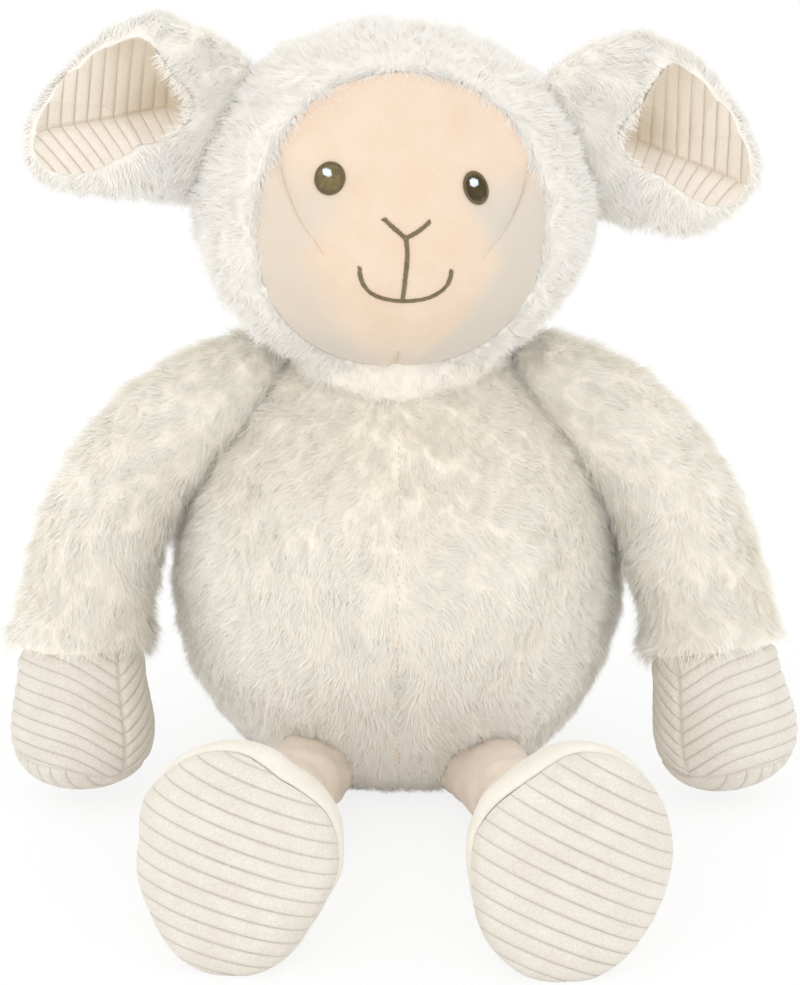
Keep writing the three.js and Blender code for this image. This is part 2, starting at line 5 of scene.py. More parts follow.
import bmesh
import bpy
import numpy as np
from bpy.props import FloatProperty, FloatVectorProperty, IntProperty, PointerProperty
from bpy.types import Operator, Panel, PropertyGroup
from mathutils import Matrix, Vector, kdtree


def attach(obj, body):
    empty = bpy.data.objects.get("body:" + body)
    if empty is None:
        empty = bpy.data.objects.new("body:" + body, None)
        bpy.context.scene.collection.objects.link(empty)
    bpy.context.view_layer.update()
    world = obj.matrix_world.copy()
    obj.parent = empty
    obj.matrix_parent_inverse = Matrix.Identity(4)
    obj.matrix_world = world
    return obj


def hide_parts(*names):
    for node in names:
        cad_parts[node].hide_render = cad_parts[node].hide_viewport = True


bl_info = {
    "name": "Plush sheep",
    "version": (1, 0, 0),
    "blender": (4, 5, 0),
    "location": "View3D > Sidebar > Sheep",
    "description": "Builds the skins, pile, corduroy and embroidery of a seated plush sheep",
    "category": "Object",
}

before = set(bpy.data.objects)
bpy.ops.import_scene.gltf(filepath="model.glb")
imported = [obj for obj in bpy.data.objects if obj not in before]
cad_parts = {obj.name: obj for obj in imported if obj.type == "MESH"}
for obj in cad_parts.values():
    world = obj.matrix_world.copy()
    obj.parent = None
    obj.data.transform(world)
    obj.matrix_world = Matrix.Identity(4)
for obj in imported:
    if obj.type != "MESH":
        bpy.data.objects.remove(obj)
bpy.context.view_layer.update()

# Everything below is in millimetres until a mesh is written
MM = 0.001
SIDES = (("left", 1), ("right", -1))

# The body's profile: shares of its half width and of its height
BODY = {"wide": 83.0, "deep": 77.0, "height": 170.0}
BODY_PROFILE = [
    (0, 0), (0.5, 0), (0.62, 0.026), (0.79, 0.11), (0.935, 0.25), (0.995, 0.38), (0.985, 0.5),
    (0.945, 0.594), (0.87, 0.7), (0.755, 0.794), (0.635, 0.87), (0.515, 0.93), (0.36, 0.97), (0, 1),
]
NECK_CENTRE = np.array([0.0, -2.0, 163.0])
NECK_RADIUS = 42.0

# The head's own frame: it leans to its left and turns a little
HEAD_CENTRE = np.array([-1.6, -8.0, 222.0])
HEAD_HALF = np.array([71.5, 61.0, 62.5])
HEAD_ROLL = math.radians(2.8)
HEAD_TURN = math.radians(3.6)

# The face's outline about the head's middle
FACE_HALF = (48.5, 51.5)
FACE_SHARES = [
    (0, 1.01), (0.28, 0.975), (0.56, 0.87), (0.88, 0.55), (1, 0.23), (0.99, -0.14), (0.88, -0.52),
    (0.64, -0.8), (0.3, -0.96), (0, -1),
]
EYES = {
    "left": {"place": (23.7, 20.5), "half": (3.65, 5.35), "lean": 28},
    "right": {"place": (-26.2, 21.9), "half": (4.45, 5.2), "lean": -36},
}

# The ears, as shares of their reach, height and depth: the left one hangs a little lower
EAR = {"root": 46.0, "reach": 86.0, "bottom": -4.0, "height": 66.0, "deep": 31.0, "behind": 2.0}
EAR_STATIONS = {
    "left": [
        (-0.04, 0.4, 0.02, 0.02), (0, 0.4, 0.5, 0.5), (0.14, 0.44, 0.78, 0.7), (0.28, 0.48, 0.94, 0.84),
        (0.45, 0.49, 1.02, 0.97), (0.63, 0.43, 0.98, 1), (0.77, 0.36, 0.84, 0.94),
        (0.885, 0.31, 0.58, 0.77), (0.965, 0.3, 0.3, 0.52), (1, 0.3, 0.02, 0.02),
    ],
    "right": [
        (-0.04, 0.4, 0.02, 0.02), (0, 0.4, 0.5, 0.5), (0.14, 0.45, 0.77, 0.7), (0.28, 0.49, 0.91, 0.84),
        (0.45, 0.525, 0.96, 0.97), (0.63, 0.49, 0.89, 1), (0.77, 0.42, 0.73, 0.94),
        (0.885, 0.355, 0.52, 0.77), (0.965, 0.32, 0.3, 0.52), (1, 0.31, 0.02, 0.02),
    ],
}
EAR_MOUTH = {
    "left": [
        (97, 54.5), (86.5, 41), (78, 29), (80, 24), (95, 16), (103, 10), (111, 5), (119, 3.5), (124, 5.5),
        (127.5, 12), (127, 19), (122, 30), (112.5, 42), (103, 51),
    ],
    "right": [
        (92, 57), (80.5, 45), (72.5, 36), (74, 30.5), (92, 21), (101, 14.5), (110, 9.5), (119.5, 8),
        (125, 9.5), (129, 16.5), (128, 23), (122.5, 33.5), (112.5, 45), (101.5, 53.5),
    ],
}
EAR_MOUTH_MIDDLE = {"left": (106.0, 27.0), "right": (104.0, 31.0)}
EAR_FOLD = {"left": ((126.5, 10.5), (78.0, 26.5)), "right": ((128.5, 21.5), (73.0, 31.0))}

# An arm, as shares of how far it reaches out, forward and down, and of its radius
SHOULDER = {"out": 50.0, "forward": 3.0, "height": 153.0}
ARM = {"reach": 68.0, "forward": 40.5, "radius": 22.5, "deep": 0.96, "floor": 6.2}
SLEEVE_STATIONS = [
    (-0.16, -0.04, -0.03, 0.02), (-0.1, -0.02, -0.02, 0.46), (0, 0, 0, 0.68), (0.17, 0.05, 0.04, 0.8),
    (0.42, 0.12, 0.105, 0.89), (0.64, 0.22, 0.2, 0.93), (0.8, 0.35, 0.3, 0.955), (0.91, 0.49, 0.42, 0.98),
    (0.975, 0.67, 0.545, 0.98), (1, 0.79, 0.64, 1), (1, 0.81, 0.655, 0.9), (1, 0.8, 0.65, 0.02),
]
MITT_STATIONS = [
    (0.98, 0.66, 0.54, 0.02), (0.99, 0.7, 0.56, 0.5), (1, 0.78, 0.645, 0.66), (1, 0.83, 0.672, 0.845),
    (1, 0.9, 0.725, 0.89), (1, 0.95, 0.79, 0.955), (1, 0.98, 0.856, 1), (1, 1, 0.923, 0.935),
    (1, 1, 0.968, 0.73), (1, 1, 0.992, 0.42), (1, 1, 1, 0.02),
]
PAW_HALF = 26.5
PAW_SEAM = 0.68
ARM_SWAY = {"left": (-5.0, 9.0), "right": (0.0, 0.0)}

# A leg and its foot
HIP = {"out": 27.4, "forward": 43.89, "height": 14.7}
ANKLE = {"left": (56.0, -137.39, 30.649), "right": (-52.7, -134.89, 30.649)}
LEG_RADIUS = 14.5
FOOT = {"tall": 38.0, "thick": 35.0}
FOOT_TILT = math.radians(-16)
FOOT_TURN = math.radians(5)
FOOT_STATIONS = [
    (0, 0.02), (0.005, 0.36), (0.06, 0.62), (0.17, 0.82), (0.32, 0.94), (0.5, 1), (0.66, 1), (0.8, 0.93),
    (0.91, 0.76), (0.97, 0.5), (1, 0.02),
]
SOLE_PLACES = {
    "right": [
        (-30.5, 4.1), (-29.4, 17), (-23.1, 24.6), (-14.9, 31), (-4.2, 34.8), (4, 35), (16.6, 28.5),
        (25.4, 22.8), (31, 17.2), (34.2, 9), (34, -3.4), (30.1, -12.7), (24, -23), (16, -34), (5, -39.4),
        (-8.5, -38.6), (-16.8, -34.4), (-22.9, -27), (-27, -18.7), (-30.4, -10.4), (-31.4, -2),
    ],
    "left": [
        (-32.7, -7.3), (-33.2, 2.1), (-32.3, 10.5), (-29, 17.4), (-21.7, 25.2), (-12.7, 31), (-1.2, 35.6),
        (6, 35.4), (19.3, 29.4), (27.8, 19.4), (31.8, 8.2), (32.2, -0.8), (30.4, -9.1), (27, -17.6),
        (22, -26), (15, -34), (4.7, -39.6), (-5.4, -40.4), (-15.4, -37.6), (-22.9, -31.9), (-28.8, -23.4),
        (-31.8, -15),
    ],
}
# Slopes of the mitts' ribs: outwards, up to the bend, backwards, and round the inner panel
MITT_RUN = {"out": 0.27, "bend": 0.45, "back": 0.36, "wrap": 0.42}
# How many degrees the ribs of each sole slope, and how much they bend
SOLE_RIBS = {"left": (-27, -0.001), "right": (-18, -0.0018)}

# How far the dressed face stands off the head's own form, its darts and its embroidered lines
FACE_LIFT = 1.6
CHEEK_DART = [(44, 25.5), (39.5, 13.5), (34, 4), (29.5, -1), (27.5, -4)]
CHIN_DART = [(1, -42.4), (1, -47), (1, -50.5)]
NOSE_LINES = [
    [(-7.9, 10.6), (-4.3, 7.7), (0, 4.3)],
    [(8.2, 10.1), (4.4, 6.9), (0, 4.3)],
    [(0, 4.6), (0.7, -0.4), (0.5, -9.1), (0.1, -18.0)],
]
SMILE = [
    (-15.2, -6.6), (-14.8, -10.1), (-13.5, -13.3), (-11.4, -15.7), (-8, -17.5), (-4.5, -18.3), (-0.5, -18.6),
    (4.3, -18.3), (8.6, -17.4), (12.5, -15.4), (15, -12.8), (16.1, -9.9), (16.4, -6.9),
]

# Pile: the name of the strands' own map, how many strands share a lock and how far the lock draws them in
STRAND_MAP = "OFBake"
LOCK_STRANDS = 40
LOCK_PULL = 0.34

# How single strands differ: shares of length, pull and width, degrees of turn and lie, and tone
SPREAD = {"length": (0.6, 1.2), "pull": (0.5, 1.3), "width": (0.7, 1.2), "turn": 26, "lie": 10, "tone": 0.09}

# The stage: each lamp's name, place, size, power and aim, in metres and watts, and the sky's strength
LAMPS = (
    ("Key light", (-0.75, -1.15, 1.25), 0.9, 2.5, (0, 0, 0.14)),
    ("Fill light", (1.1, -1.0, 0.7), 1.2, 0.6, (0, 0, 0.14)),
    ("Low light", (0.0, -1.5, 0.2), 1.4, 2.4, (0, 0, 0.1)),
    ("Top light", (0.0, 0.5, 1.5), 1.0, 0.3, (0, 0, 0.14)),
)
SKY_LIGHT = 1.09

# The camera looks down from a metre away; focal and shift are in pixels of a picture of this height
CAMERA = {"tilt": 20, "aim": 0.14, "sensor": 36, "focal": 2666.7, "shift": (2, -88.4), "height": 985}

# A ball becomes a pad of two sheets: the share of its rings that the outer sheet takes
SHEETS = {"face": 0.72, "lining": 0.78, "sole": 0.86, "upper": 0.8}

# From rib to rib on the soles and gussets, the mitts' panels and the ears' lining
CORD_PITCH, MITT_PITCH, LINING_PITCH = 5.4, 5.05, 4.6

# Strands in each field of pile, and the seed of its draws, to which a field on the left adds one
PILES = {
    "body_front": (37000, 31), "body_back": (29000, 33), "neck": (6500, 41), "hood": (39000, 51),
    "fringe": (11000, 55), "ear": (19000, 61), "sleeve": (31000, 71),
}
# The length that the pile's own lengths are written for
USUAL_PILE = 7.5

# A distance that counts as far from every seam
FAR = 99.0


def srgb(red, green, blue):
    """A colour written in 0 to 255 as the linear values that a socket takes."""
    shares = np.array([red, green, blue]) / 255
    linear = np.where(shares <= 0.04045, shares / 12.92, ((shares + 0.055) / 1.055) ** 2.4)
    return tuple(float(value) for value in linear)


def length_of(name, description, millimetres):
    return FloatProperty(name=name, description=description, default=millimetres * MM, unit="LENGTH", min=0)


def colour_of(name, description, *shade):
    shade = srgb(*shade)
    return FloatVectorProperty(name=name, description=description, subtype="COLOR", size=3, default=shade)


class SheepSizes(PropertyGroup):
    """Sizes that change how the cloth looks."""

    pile_length: length_of("Pile length", "Usual length of the pile, by which all of it grows", USUAL_PILE)
    cuff_length: length_of("Cuff pile length", "Length of the pile round the cuffs", 10.5)
    strand_width: length_of("Strand width", "Width of one lock of pile at its root", 0.33)
    rib_height: length_of("Rib height", "How far a corduroy rib stands up", 0.85)
    pile_seed: IntProperty(name="Pile seed", description="Starts the pile's random draws", default=7, min=0)


class SheepColours(PropertyGroup):
    """Colours of the cloths and threads."""

    pile_tip: colour_of("Pile tips", "Colour of the pile's tips", 254, 252, 245)
    pile_root: colour_of("Pile roots", "Colour of the pile's roots", 248, 243, 232)
    head_tip: colour_of("Head pile tips", "Colour of the head's tips", 254, 252, 248)
    head_root: colour_of("Head pile roots", "Colour of the head's roots", 248, 244, 236)
    face: colour_of("Face velour", "Colour of the face", 232, 212, 191)
    legs: colour_of("Leg velour", "Colour of the legs", 240, 226, 210)
    corduroy: colour_of("Corduroy", "Colour of the mitts and soles", 230, 225, 214)
    lining: colour_of("Ear lining", "Colour of the ears' lining", 236, 227, 215)
    thread: colour_of("Embroidery", "Colour of the embroidery", 142, 128, 98)


def along(table, places, scale=1.0):
    """Smooth values between the rows of a table, spaced by the distance between them."""
    rows = np.asarray(table, float)
    steps = np.linalg.norm(np.diff(rows * scale, axis=0), axis=1)
    knots = np.concatenate([[0], np.cumsum(steps)]) / steps.sum()
    slopes = np.gradient(rows, knots, axis=0)
    places = np.clip(np.asarray(places, float), 0, 1)
    row = np.clip(np.searchsorted(knots, places, side="right") - 1, 0, len(rows) - 2)
    width = (knots[row + 1] - knots[row])[:, None]
    part = (places - knots[row])[:, None] / width
    square, cube = part**2, part**3
    from_rows = (2 * cube - 3 * square + 1) * rows[row] + (3 * square - 2 * cube) * rows[row + 1]
    from_slopes = (cube - 2 * square + part) * slopes[row] + (cube - square) * slopes[row + 1]
    return from_rows + width * from_slopes


def smooth(low, high, values):
    """A share that eases from 0 at low to 1 at high."""
    part = np.clip((values - low) / (high - low), 0, 1)
    return part * part * (3 - 2 * part)


def unit(vectors):
    return vectors / np.maximum(np.linalg.norm(vectors, axis=1, keepdims=True), 1e-9)


def columns(*values):
    """Sets rows of numbers side by side, one point to a row."""
    return np.stack(np.broadcast_arrays(*values), axis=1)


def wander(points, seed, wavelength):
    """A smooth value from about -1 to 1 that changes over a wavelength in millimetres."""
    draws = np.random.default_rng(seed)
    total = np.zeros(len(points))
    for _ in range(5):
        direction = draws.normal(size=3)
        direction *= 2 * math.pi / (wavelength * draws.uniform(0.7, 1.5) * np.linalg.norm(direction))
        total += np.sin(points @ direction + draws.uniform(0, 2 * math.pi))
    return total / 3


class Outline:
    """A closed outline round a middle, by its radius at each angle."""

    def __init__(self, places, middle=(0, 0), round_by=2.0):
        places = np.asarray(places, float) - middle
        angles = np.arctan2(places[:, 1], places[:, 0])
        order = np.argsort(angles)
        self.middle = np.asarray(middle, float)
        self.steps = np.linspace(-math.pi, math.pi, 721)
        fine = np.interp(self.steps, angles[order], np.hypot(*places.T)[order], period=2 * math.pi)
        reach = int(round(round_by / math.degrees(self.steps[1] - self.steps[0])))
        kernel = np.hanning(2 * reach + 3)
        wrapped = np.concatenate([fine[-reach - 2 : -1], fine, fine[1 : reach + 2]])
        self.radii = np.convolve(wrapped, kernel / kernel.sum(), mode="valid")

    def radius(self, angles):
        return np.interp(angles, self.steps, self.radii, period=2 * math.pi)

    def gap(self, x, z):
        """How far outside the outline a point lies, along its own radius."""
        x, z = x - self.middle[0], z - self.middle[1]
        return np.hypot(x, z) - self.radius(np.arctan2(z, x))

    def place(self, angles, share):
        reach = self.radius(angles) * share
        return self.middle[0] + reach * np.cos(angles), self.middle[1] + reach * np.sin(angles)


def rotation(about_x=0.0, about_y=0.0, about_z=0.0):
    """A turn about Z, then X, then Y."""
    cos_x, sin_x = math.cos(about_x), math.sin(about_x)
    cos_y, sin_y = math.cos(about_y), math.sin(about_y)
    cos_z, sin_z = math.cos(about_z), math.sin(about_z)
    turn_x = np.array([[1, 0, 0], [0, cos_x, -sin_x], [0, sin_x, cos_x]])
    turn_y = np.array([[cos_y, 0, sin_y], [0, 1, 0], [-sin_y, 0, cos_y]])
    turn_z = np.array([[cos_z, -sin_z, 0], [sin_z, cos_z, 0], [0, 0, 1]])
    return turn_y @ turn_x @ turn_z


HEAD_TURNED = rotation(about_y=HEAD_ROLL, about_z=HEAD_TURN)
FACE_LEFT = [(out * FACE_HALF[0], up * FACE_HALF[1]) for out, up in FACE_SHARES]
FACE_OUTLINE = Outline(FACE_LEFT + [(-x, z) for x, z in FACE_LEFT[1:-1]], round_by=6)


def from_head(points):
    return points @ HEAD_TURNED.T + HEAD_CENTRE


def to_head(points):
    """Points in the head's frame, and how far each lies outside the face's outline."""
    local = (points - HEAD_CENTRE) @ HEAD_TURNED
    return local, FACE_OUTLINE.gap(local[:, 0], local[:, 2])


def off_neck(points, sunk):
    """Which points lie outside the neck's ball, once it has sunk in."""
    return np.linalg.norm(points - NECK_CENTRE, axis=1) > NECK_RADIUS - sunk


def numbers(items, name, kind=float):
    """Reads three numbers of each item of a mesh, such as the place of each vertex."""
    flat = np.empty(3 * len(items), kind)
    items.foreach_get(name, flat)
    return flat.reshape(-1, 3)


def coordinates(piece):
    return numbers(piece.data.vertices, "co") / MM


def normals_of(piece):
    return numbers(piece.data.vertex_normals, "vector")


def set_coordinates(piece, points):
    piece.data.vertices.foreach_set("co", (np.asarray(points) * MM).ravel())
    piece.data.update()


def new_piece(name, mesh):
    piece = bpy.data.objects.new(name, mesh)
    bpy.context.collection.objects.link(piece)
    return piece


def face_outwards(piece):
    """Turns faces outwards and lists them in one fixed order, which a new ball's own faces don't keep."""
    mesh = bmesh.new()
    mesh.from_mesh(piece.data)
    bmesh.ops.recalc_face_normals(mesh, faces=mesh.faces)
    mesh.verts.index_update()
    places = [vertex.co[:] for vertex in mesh.verts]
    faces = []
    for face in mesh.faces:
        corners = [vertex.index for vertex in face.verts]
        start = corners.index(min(corners))
        faces.append(corners[start:] + corners[:start])
    mesh.free()
    piece.data.clear_geometry()
    piece.data.from_pydata(places, [], sorted(faces))
    piece.data.shade_smooth()


def shaped_ball(name, segments, rings, shape):
    """Adds a ball and moves each vertex to where shape puts its angle and its share from top to bottom."""
    bpy.ops.object.select_all(action="DESELECT")
    bpy.ops.mesh.primitive_uv_sphere_add(segments=segments, ring_count=rings, radius=1)
    piece = bpy.context.object
    piece.name = piece.data.name = name
    x, y, z = numbers(piece.data.vertices, "co").T
    set_coordinates(piece, shape(np.arctan2(y, x), np.arccos(np.clip(z, -1, 1)) / math.pi))
    face_outwards(piece)
    return piece


def add_vectors(piece, name, *values):
    """Gives each vertex up to three numbers, which a material reads by their name."""
    layer = piece.data.attributes.new(name, "FLOAT_VECTOR", "POINT")
    rows = columns(*values, *[0.0] * (3 - len(values)))
    layer.data.foreach_set("vector", rows.astype(np.float32).ravel())


def puff(piece, *swells, lift=0.0):
    """Lifts a skin and moves it in and out; each swell is a seed, a height and a wavelength."""
    for seed, height, wavelength in swells:
        points = coordinates(piece)
        moved = lift + height * wander(points, seed, wavelength)
        set_coordinates(piece, points + normals_of(piece) * moved[:, None])
        lift = 0.0


def rib_profile(across):
    """A corduroy rib: a broad rounded crown between grooves, from a place in pitches."""
    part = np.abs(2 * (across - np.floor(across)) - 1)
    return 1 - part**4


def ribbed(runs, seams):
    """How high the ribs stand where runs of cloth meet, fading at each seam, and how near a seam is."""
    over, under = seams[0] > 0, seams[1] < 0
    chosen = np.where(under, runs[2], np.where(over, runs[1], runs[0]))
    nearest = np.minimum(np.where(under, FAR, np.abs(seams[0])), np.abs(seams[1]))
    return rib_profile(chosen) * smooth(0.1, 1.6, nearest), np.exp(-((nearest / 0.8) ** 2))


def two_sheets(share, turn):
    """Which points lie on a pad's outer sheet, and how far each lies from the middle of its own sheet."""
    front = share < turn
    return front, np.where(front, share / turn, (1 - share) / (1 - turn))


def finish_piece(piece, material, body, replaced=()):
    piece.data.materials.clear()
    piece.data.materials.append(material)
    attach(piece, body)
    if replaced:
        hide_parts(*replaced)
    return piece


# Materials


class Tree:
    """Adds nodes to a node tree: an input that is given a socket is linked, and any other value is set."""

    def __init__(self, tree):
        self.nodes, self.links = tree.nodes, tree.links

    def put(self, socket, value):
        if isinstance(value, bpy.types.NodeSocket):
            self.links.new(value, socket)
        else:
            socket.default_value = (*value, 1) if socket.type == "RGBA" else value

    def add(self, kind, inputs=(), **settings):
        node = self.nodes.new(kind)
        for name, value in settings.items():
            setattr(node, name, value)
        for label, value in dict(inputs).items():
            self.put(node.inputs[label], value)
        return node.outputs

    def calc(self, operation, *values):
        return self.add("ShaderNodeMath", enumerate(values), operation=operation)[0]

    def mix(self, factor, first, second, **settings):
        return self.add("ShaderNodeMix", {"Factor": factor, "A": first, "B": second}, **settings)["Result"]

    def tint(self, factor, first, second, **settings):
        return self.mix(factor, first, second, data_type="RGBA", **settings)

    def split(self, vector):
        return self.add("ShaderNodeSeparateXYZ", {"Vector": vector})

    def read(self, name):
        """The numbers that add_vectors gave the vertices."""
        return self.split(self.add("ShaderNodeAttribute", attribute_name=name)["Vector"])


def node_group(name, inputs, outputs, fill):
    """A shader node group with named inputs and outputs, made once: fill returns what feeds each output."""
    if name not in bpy.data.node_groups:
        group = bpy.data.node_groups.new(name, "ShaderNodeTree")
        for label, default in inputs.items():
            kind = "NodeSocketFloat" if isinstance(default, float) else "NodeSocketColor"
            group.interface.new_socket(label, in_out="INPUT", socket_type=kind).default_value = default
        for label, kind in outputs.items():
            group.interface.new_socket(label, in_out="OUTPUT", socket_type=f"NodeSocket{kind}")
        tree = Tree(group)
        tree.add("NodeGroupOutput", fill(tree, tree.add("NodeGroupInput")))
    return bpy.data.node_groups[name]


def cloth_grain():
    """Short velvety grain: it mottles a colour and gives a height for a bump."""

    def fill(tree, given):
        place = tree.add("ShaderNodeTexCoord")["Object"]
        heights, parts = [], []
        for label, detail in (("Fibre", 3.0), ("Patch", 4.0)):
            scale = given[f"{label} size"]
            noise = {"Vector": place, "Scale": scale, "Detail": detail}
            heights.append(tree.add("ShaderNodeTexNoise", noise)["Fac"])
            ends = {"Value": heights[-1], "From Min": 0.34, "From Max": 0.66}
            spread = tree.add("ShaderNodeMapRange", ends)["Result"]
            parts.append(tree.calc("MULTIPLY", spread, given[f"{label} strength"]))
        mixed = tree.tint(tree.calc("ADD", *parts), given["Color"], given["Shade"])
        return {"Color": mixed, "Height": heights[0]}

    inputs = {
        "Color": (1, 1, 1, 1), "Shade": (0.5, 0.5, 0.5, 1), "Fibre size": 1600.0, "Patch size": 90.0,
        "Fibre strength": 0.2, "Patch strength": 0.2,
    }
    return node_group("Cloth grain", inputs, {"Color": "Color", "Height": "Float"}, fill)


def corduroy_ribs():
    """Ribs of up to three runs of cloth: the attribute ribs counts them, and seams says which run it is."""

    def fill(tree, given):
        calc = tree.calc
        ribs, seams = tree.read("ribs"), tree.read("seams")
        over, under = calc("GREATER_THAN", seams["X"], 0.0), calc("LESS_THAN", seams["Y"], 0.0)
        part = calc("FRACT", tree.mix(under, tree.mix(over, ribs["X"], ribs["Y"]), ribs["Z"]))
        away = calc("ABSOLUTE", calc("SUBTRACT", part, 0.5))
        near = calc("MULTIPLY", calc("SUBTRACT", 0.5, away), 2.0)
        ends = {"Value": near, "From Max": given["Groove width"], "To Min": 1.0, "To Max": 0.0}
        rise = tree.add("ShaderNodeMapRange", ends, interpolation_type="SMOOTHSTEP")["Result"]
        across = calc("ADD", calc("ABSOLUTE", seams["X"]), calc("MULTIPLY", under, FAR))
        nearest = calc("MINIMUM", across, calc("ABSOLUTE", seams["Y"]))
        seam = calc("MULTIPLY", calc("LESS_THAN", nearest, 0.22), 0.35)
        crown = calc("SUBTRACT", 1.0, calc("POWER", calc("MULTIPLY", away, 2.0), 5.0))
        return {"Groove": calc("MAXIMUM", rise, seam), "Crown": crown}

    return node_group("Corduroy ribs", {"Groove width": 0.2}, {"Groove": "Float", "Crown": "Float"}, fill)


def new_material(name, roughness=0.9, sheen=0.0):
    material = bpy.data.materials.new(name)
    material.use_nodes = True
    shader = material.node_tree.nodes["Principled BSDF"].inputs
    shader["Roughness"].default_value = roughness
    shader["Sheen Weight"].default_value = sheen
    shader["Sheen Roughness"].default_value = 0.5
    shader["Specular IOR Level"].default_value = 0.15
    return material, Tree(material.node_tree), shader


def grain_material(
    name, color, shade, fibre=1600.0, patch=90.0, strengths=(0.2, 0.2), bump=0.3, sheen=0.25, groove=None,
    painted_shade=None,
):
    """A cloth of one colour with grain; groove colours the lines of its ribs, partly as painted shade, and
    the last colour paints shade on the places marked so.
    """
    if name in bpy.data.materials:
        return bpy.data.materials[name]
    material, tree, shader = new_material(name, sheen=sheen)
    given = {
        "Color": color, "Shade": shade, "Fibre size": fibre, "Patch size": patch,
        "Fibre strength": strengths[0], "Patch strength": strengths[1],
    }
    grain = tree.add("ShaderNodeGroup", node_tree=cloth_grain(), inputs=given)
    result, height = grain["Color"], grain["Height"]
    # Painted shade: mixes toward the painted shade colour by each vertex's marked share
    if painted_shade:
        result = tree.tint(tree.read("painted_shade")["X"], result, painted_shade)
    # The grooves between the ribs take a darker colour: partly their own colour, partly painted shade in the
    # recess, on top of the ribs' relief
    if groove:
        ribs = tree.add("ShaderNodeGroup", node_tree=corduroy_ribs())
        result = tree.tint(tree.calc("MULTIPLY", ribs["Groove"], 0.9), result, groove)
        height = tree.calc("ADD", ribs["Crown"], tree.calc("MULTIPLY", height, 0.35))
    tree.put(shader["Base Color"], result)
    relief = tree.add("ShaderNodeBump", {"Strength": bump, "Distance": 0.4 * MM, "Height": height})
    tree.put(shader["Normal"], relief["Normal"])
    return material


def pile_material(name, tip, root):
    """Pile strands: their own map gives tone across it and root to tip up it."""
    if name in bpy.data.materials:
        return bpy.data.materials[name]
    material, tree, shader = new_material(name, roughness=0.75, sheen=0.15)
    place = tree.split(tree.add("ShaderNodeUVMap", uv_map=STRAND_MAP)["UV"])

    def ramp(value, low, high, end):
        made = tree.add("ShaderNodeValToRGB", {"Fac": value})["Color"]
        first, last = made.node.color_ramp.elements
        first.color, last.color, last.position = (*low, 1), (*high, 1), end
        return made

    rise, tone = ramp(place["Y"], root, tip, 0.75), ramp(place["X"], srgb(242, 237, 227), (1, 1, 1), 0.85)
    tree.put(shader["Base Color"], tree.tint(1.0, rise, tone, blend_type="MULTIPLY"))
    return material


# Pile


def strand_mesh(name, roots, tips, normals, widths, tones):
    """One mesh of closed three-sided strands, flat side up and lit much as the skin under them is."""
    count = len(roots)
    run = unit(tips - roots)
    side = unit(np.cross(run, normals) + 1e-6)
    rise = np.cross(side, run)

    def outward(turn):
        return side * math.cos(math.radians(turn)) + rise * math.sin(math.radians(turn))

    corners = [roots + outward(turn) * (widths / 2)[:, None] for turn in (30, 150, 270)]
    points = np.stack([*corners, tips], axis=1).reshape(-1, 3)
    lit = unit(0.8 * normals + 0.2 * rise + [0, 0, 0.32])
    shading = np.stack([-run, lit, unit(outward(210)), unit(outward(330))], axis=1).reshape(-1, 3)
    pattern = np.array([0, 1, 2, 0, 3, 1, 1, 3, 2, 2, 3, 0])
    loops = (pattern[None, :] + 4 * np.arange(count)[:, None]).ravel()
    mesh = bpy.data.meshes.new(name)
    mesh.vertices.add(len(points))
    mesh.vertices.foreach_set("co", (points * MM).astype(np.float32).ravel())
    mesh.loops.add(len(loops))
    mesh.loops.foreach_set("vertex_index", loops.astype(np.int32))
    mesh.polygons.add(4 * count)
    mesh.polygons.foreach_set("loop_start", 3 * np.arange(4 * count, dtype=np.int32))
    heights = np.array([0.02] * 3 + [0.98])[pattern]
    places = columns(np.repeat(tones, len(pattern)), np.tile(heights, count))
    mesh.update(calc_edges=True)
    mesh.uv_layers.new(name=STRAND_MAP).data.foreach_set("uv", places.astype(np.float32).ravel())
    mesh.shade_smooth()
    mesh.normals_split_custom_set(np.repeat(shading, 3, axis=0))
    return new_piece(name, mesh)


def scattered(skin, count, draws, keep):
    """Places spread evenly over the part of a skin that keep says, with their normals."""
    skin.data.calc_loop_triangles()
    corners = numbers(skin.data.loop_triangles, "vertices", np.int32)
    points, normals = coordinates(skin), normals_of(skin)
    first, second, third = (points[corners[:, index]] for index in range(3))
    areas = np.linalg.norm(np.cross(second - first, third - first), axis=1)
    areas[~keep((first + second + third) / 3)] = 0
    picks = np.searchsorted(np.cumsum(areas) / areas.sum(), draws.random(count))
    one, two = draws.random(count), draws.random(count)
    fold = one + two > 1
    one[fold], two[fold] = 1 - one[fold], 1 - two[fold]
    weights = columns(1 - one - two, one, two)[:, :, None]
    chosen = corners[np.minimum(picks, len(corners) - 1)]
    roots, outward = (points[chosen] * weights).sum(axis=1), unit((normals[chosen] * weights).sum(axis=1))
    inside = keep(roots)
    return roots[inside], outward[inside]


def usual_tone(roots):
    return 0.78


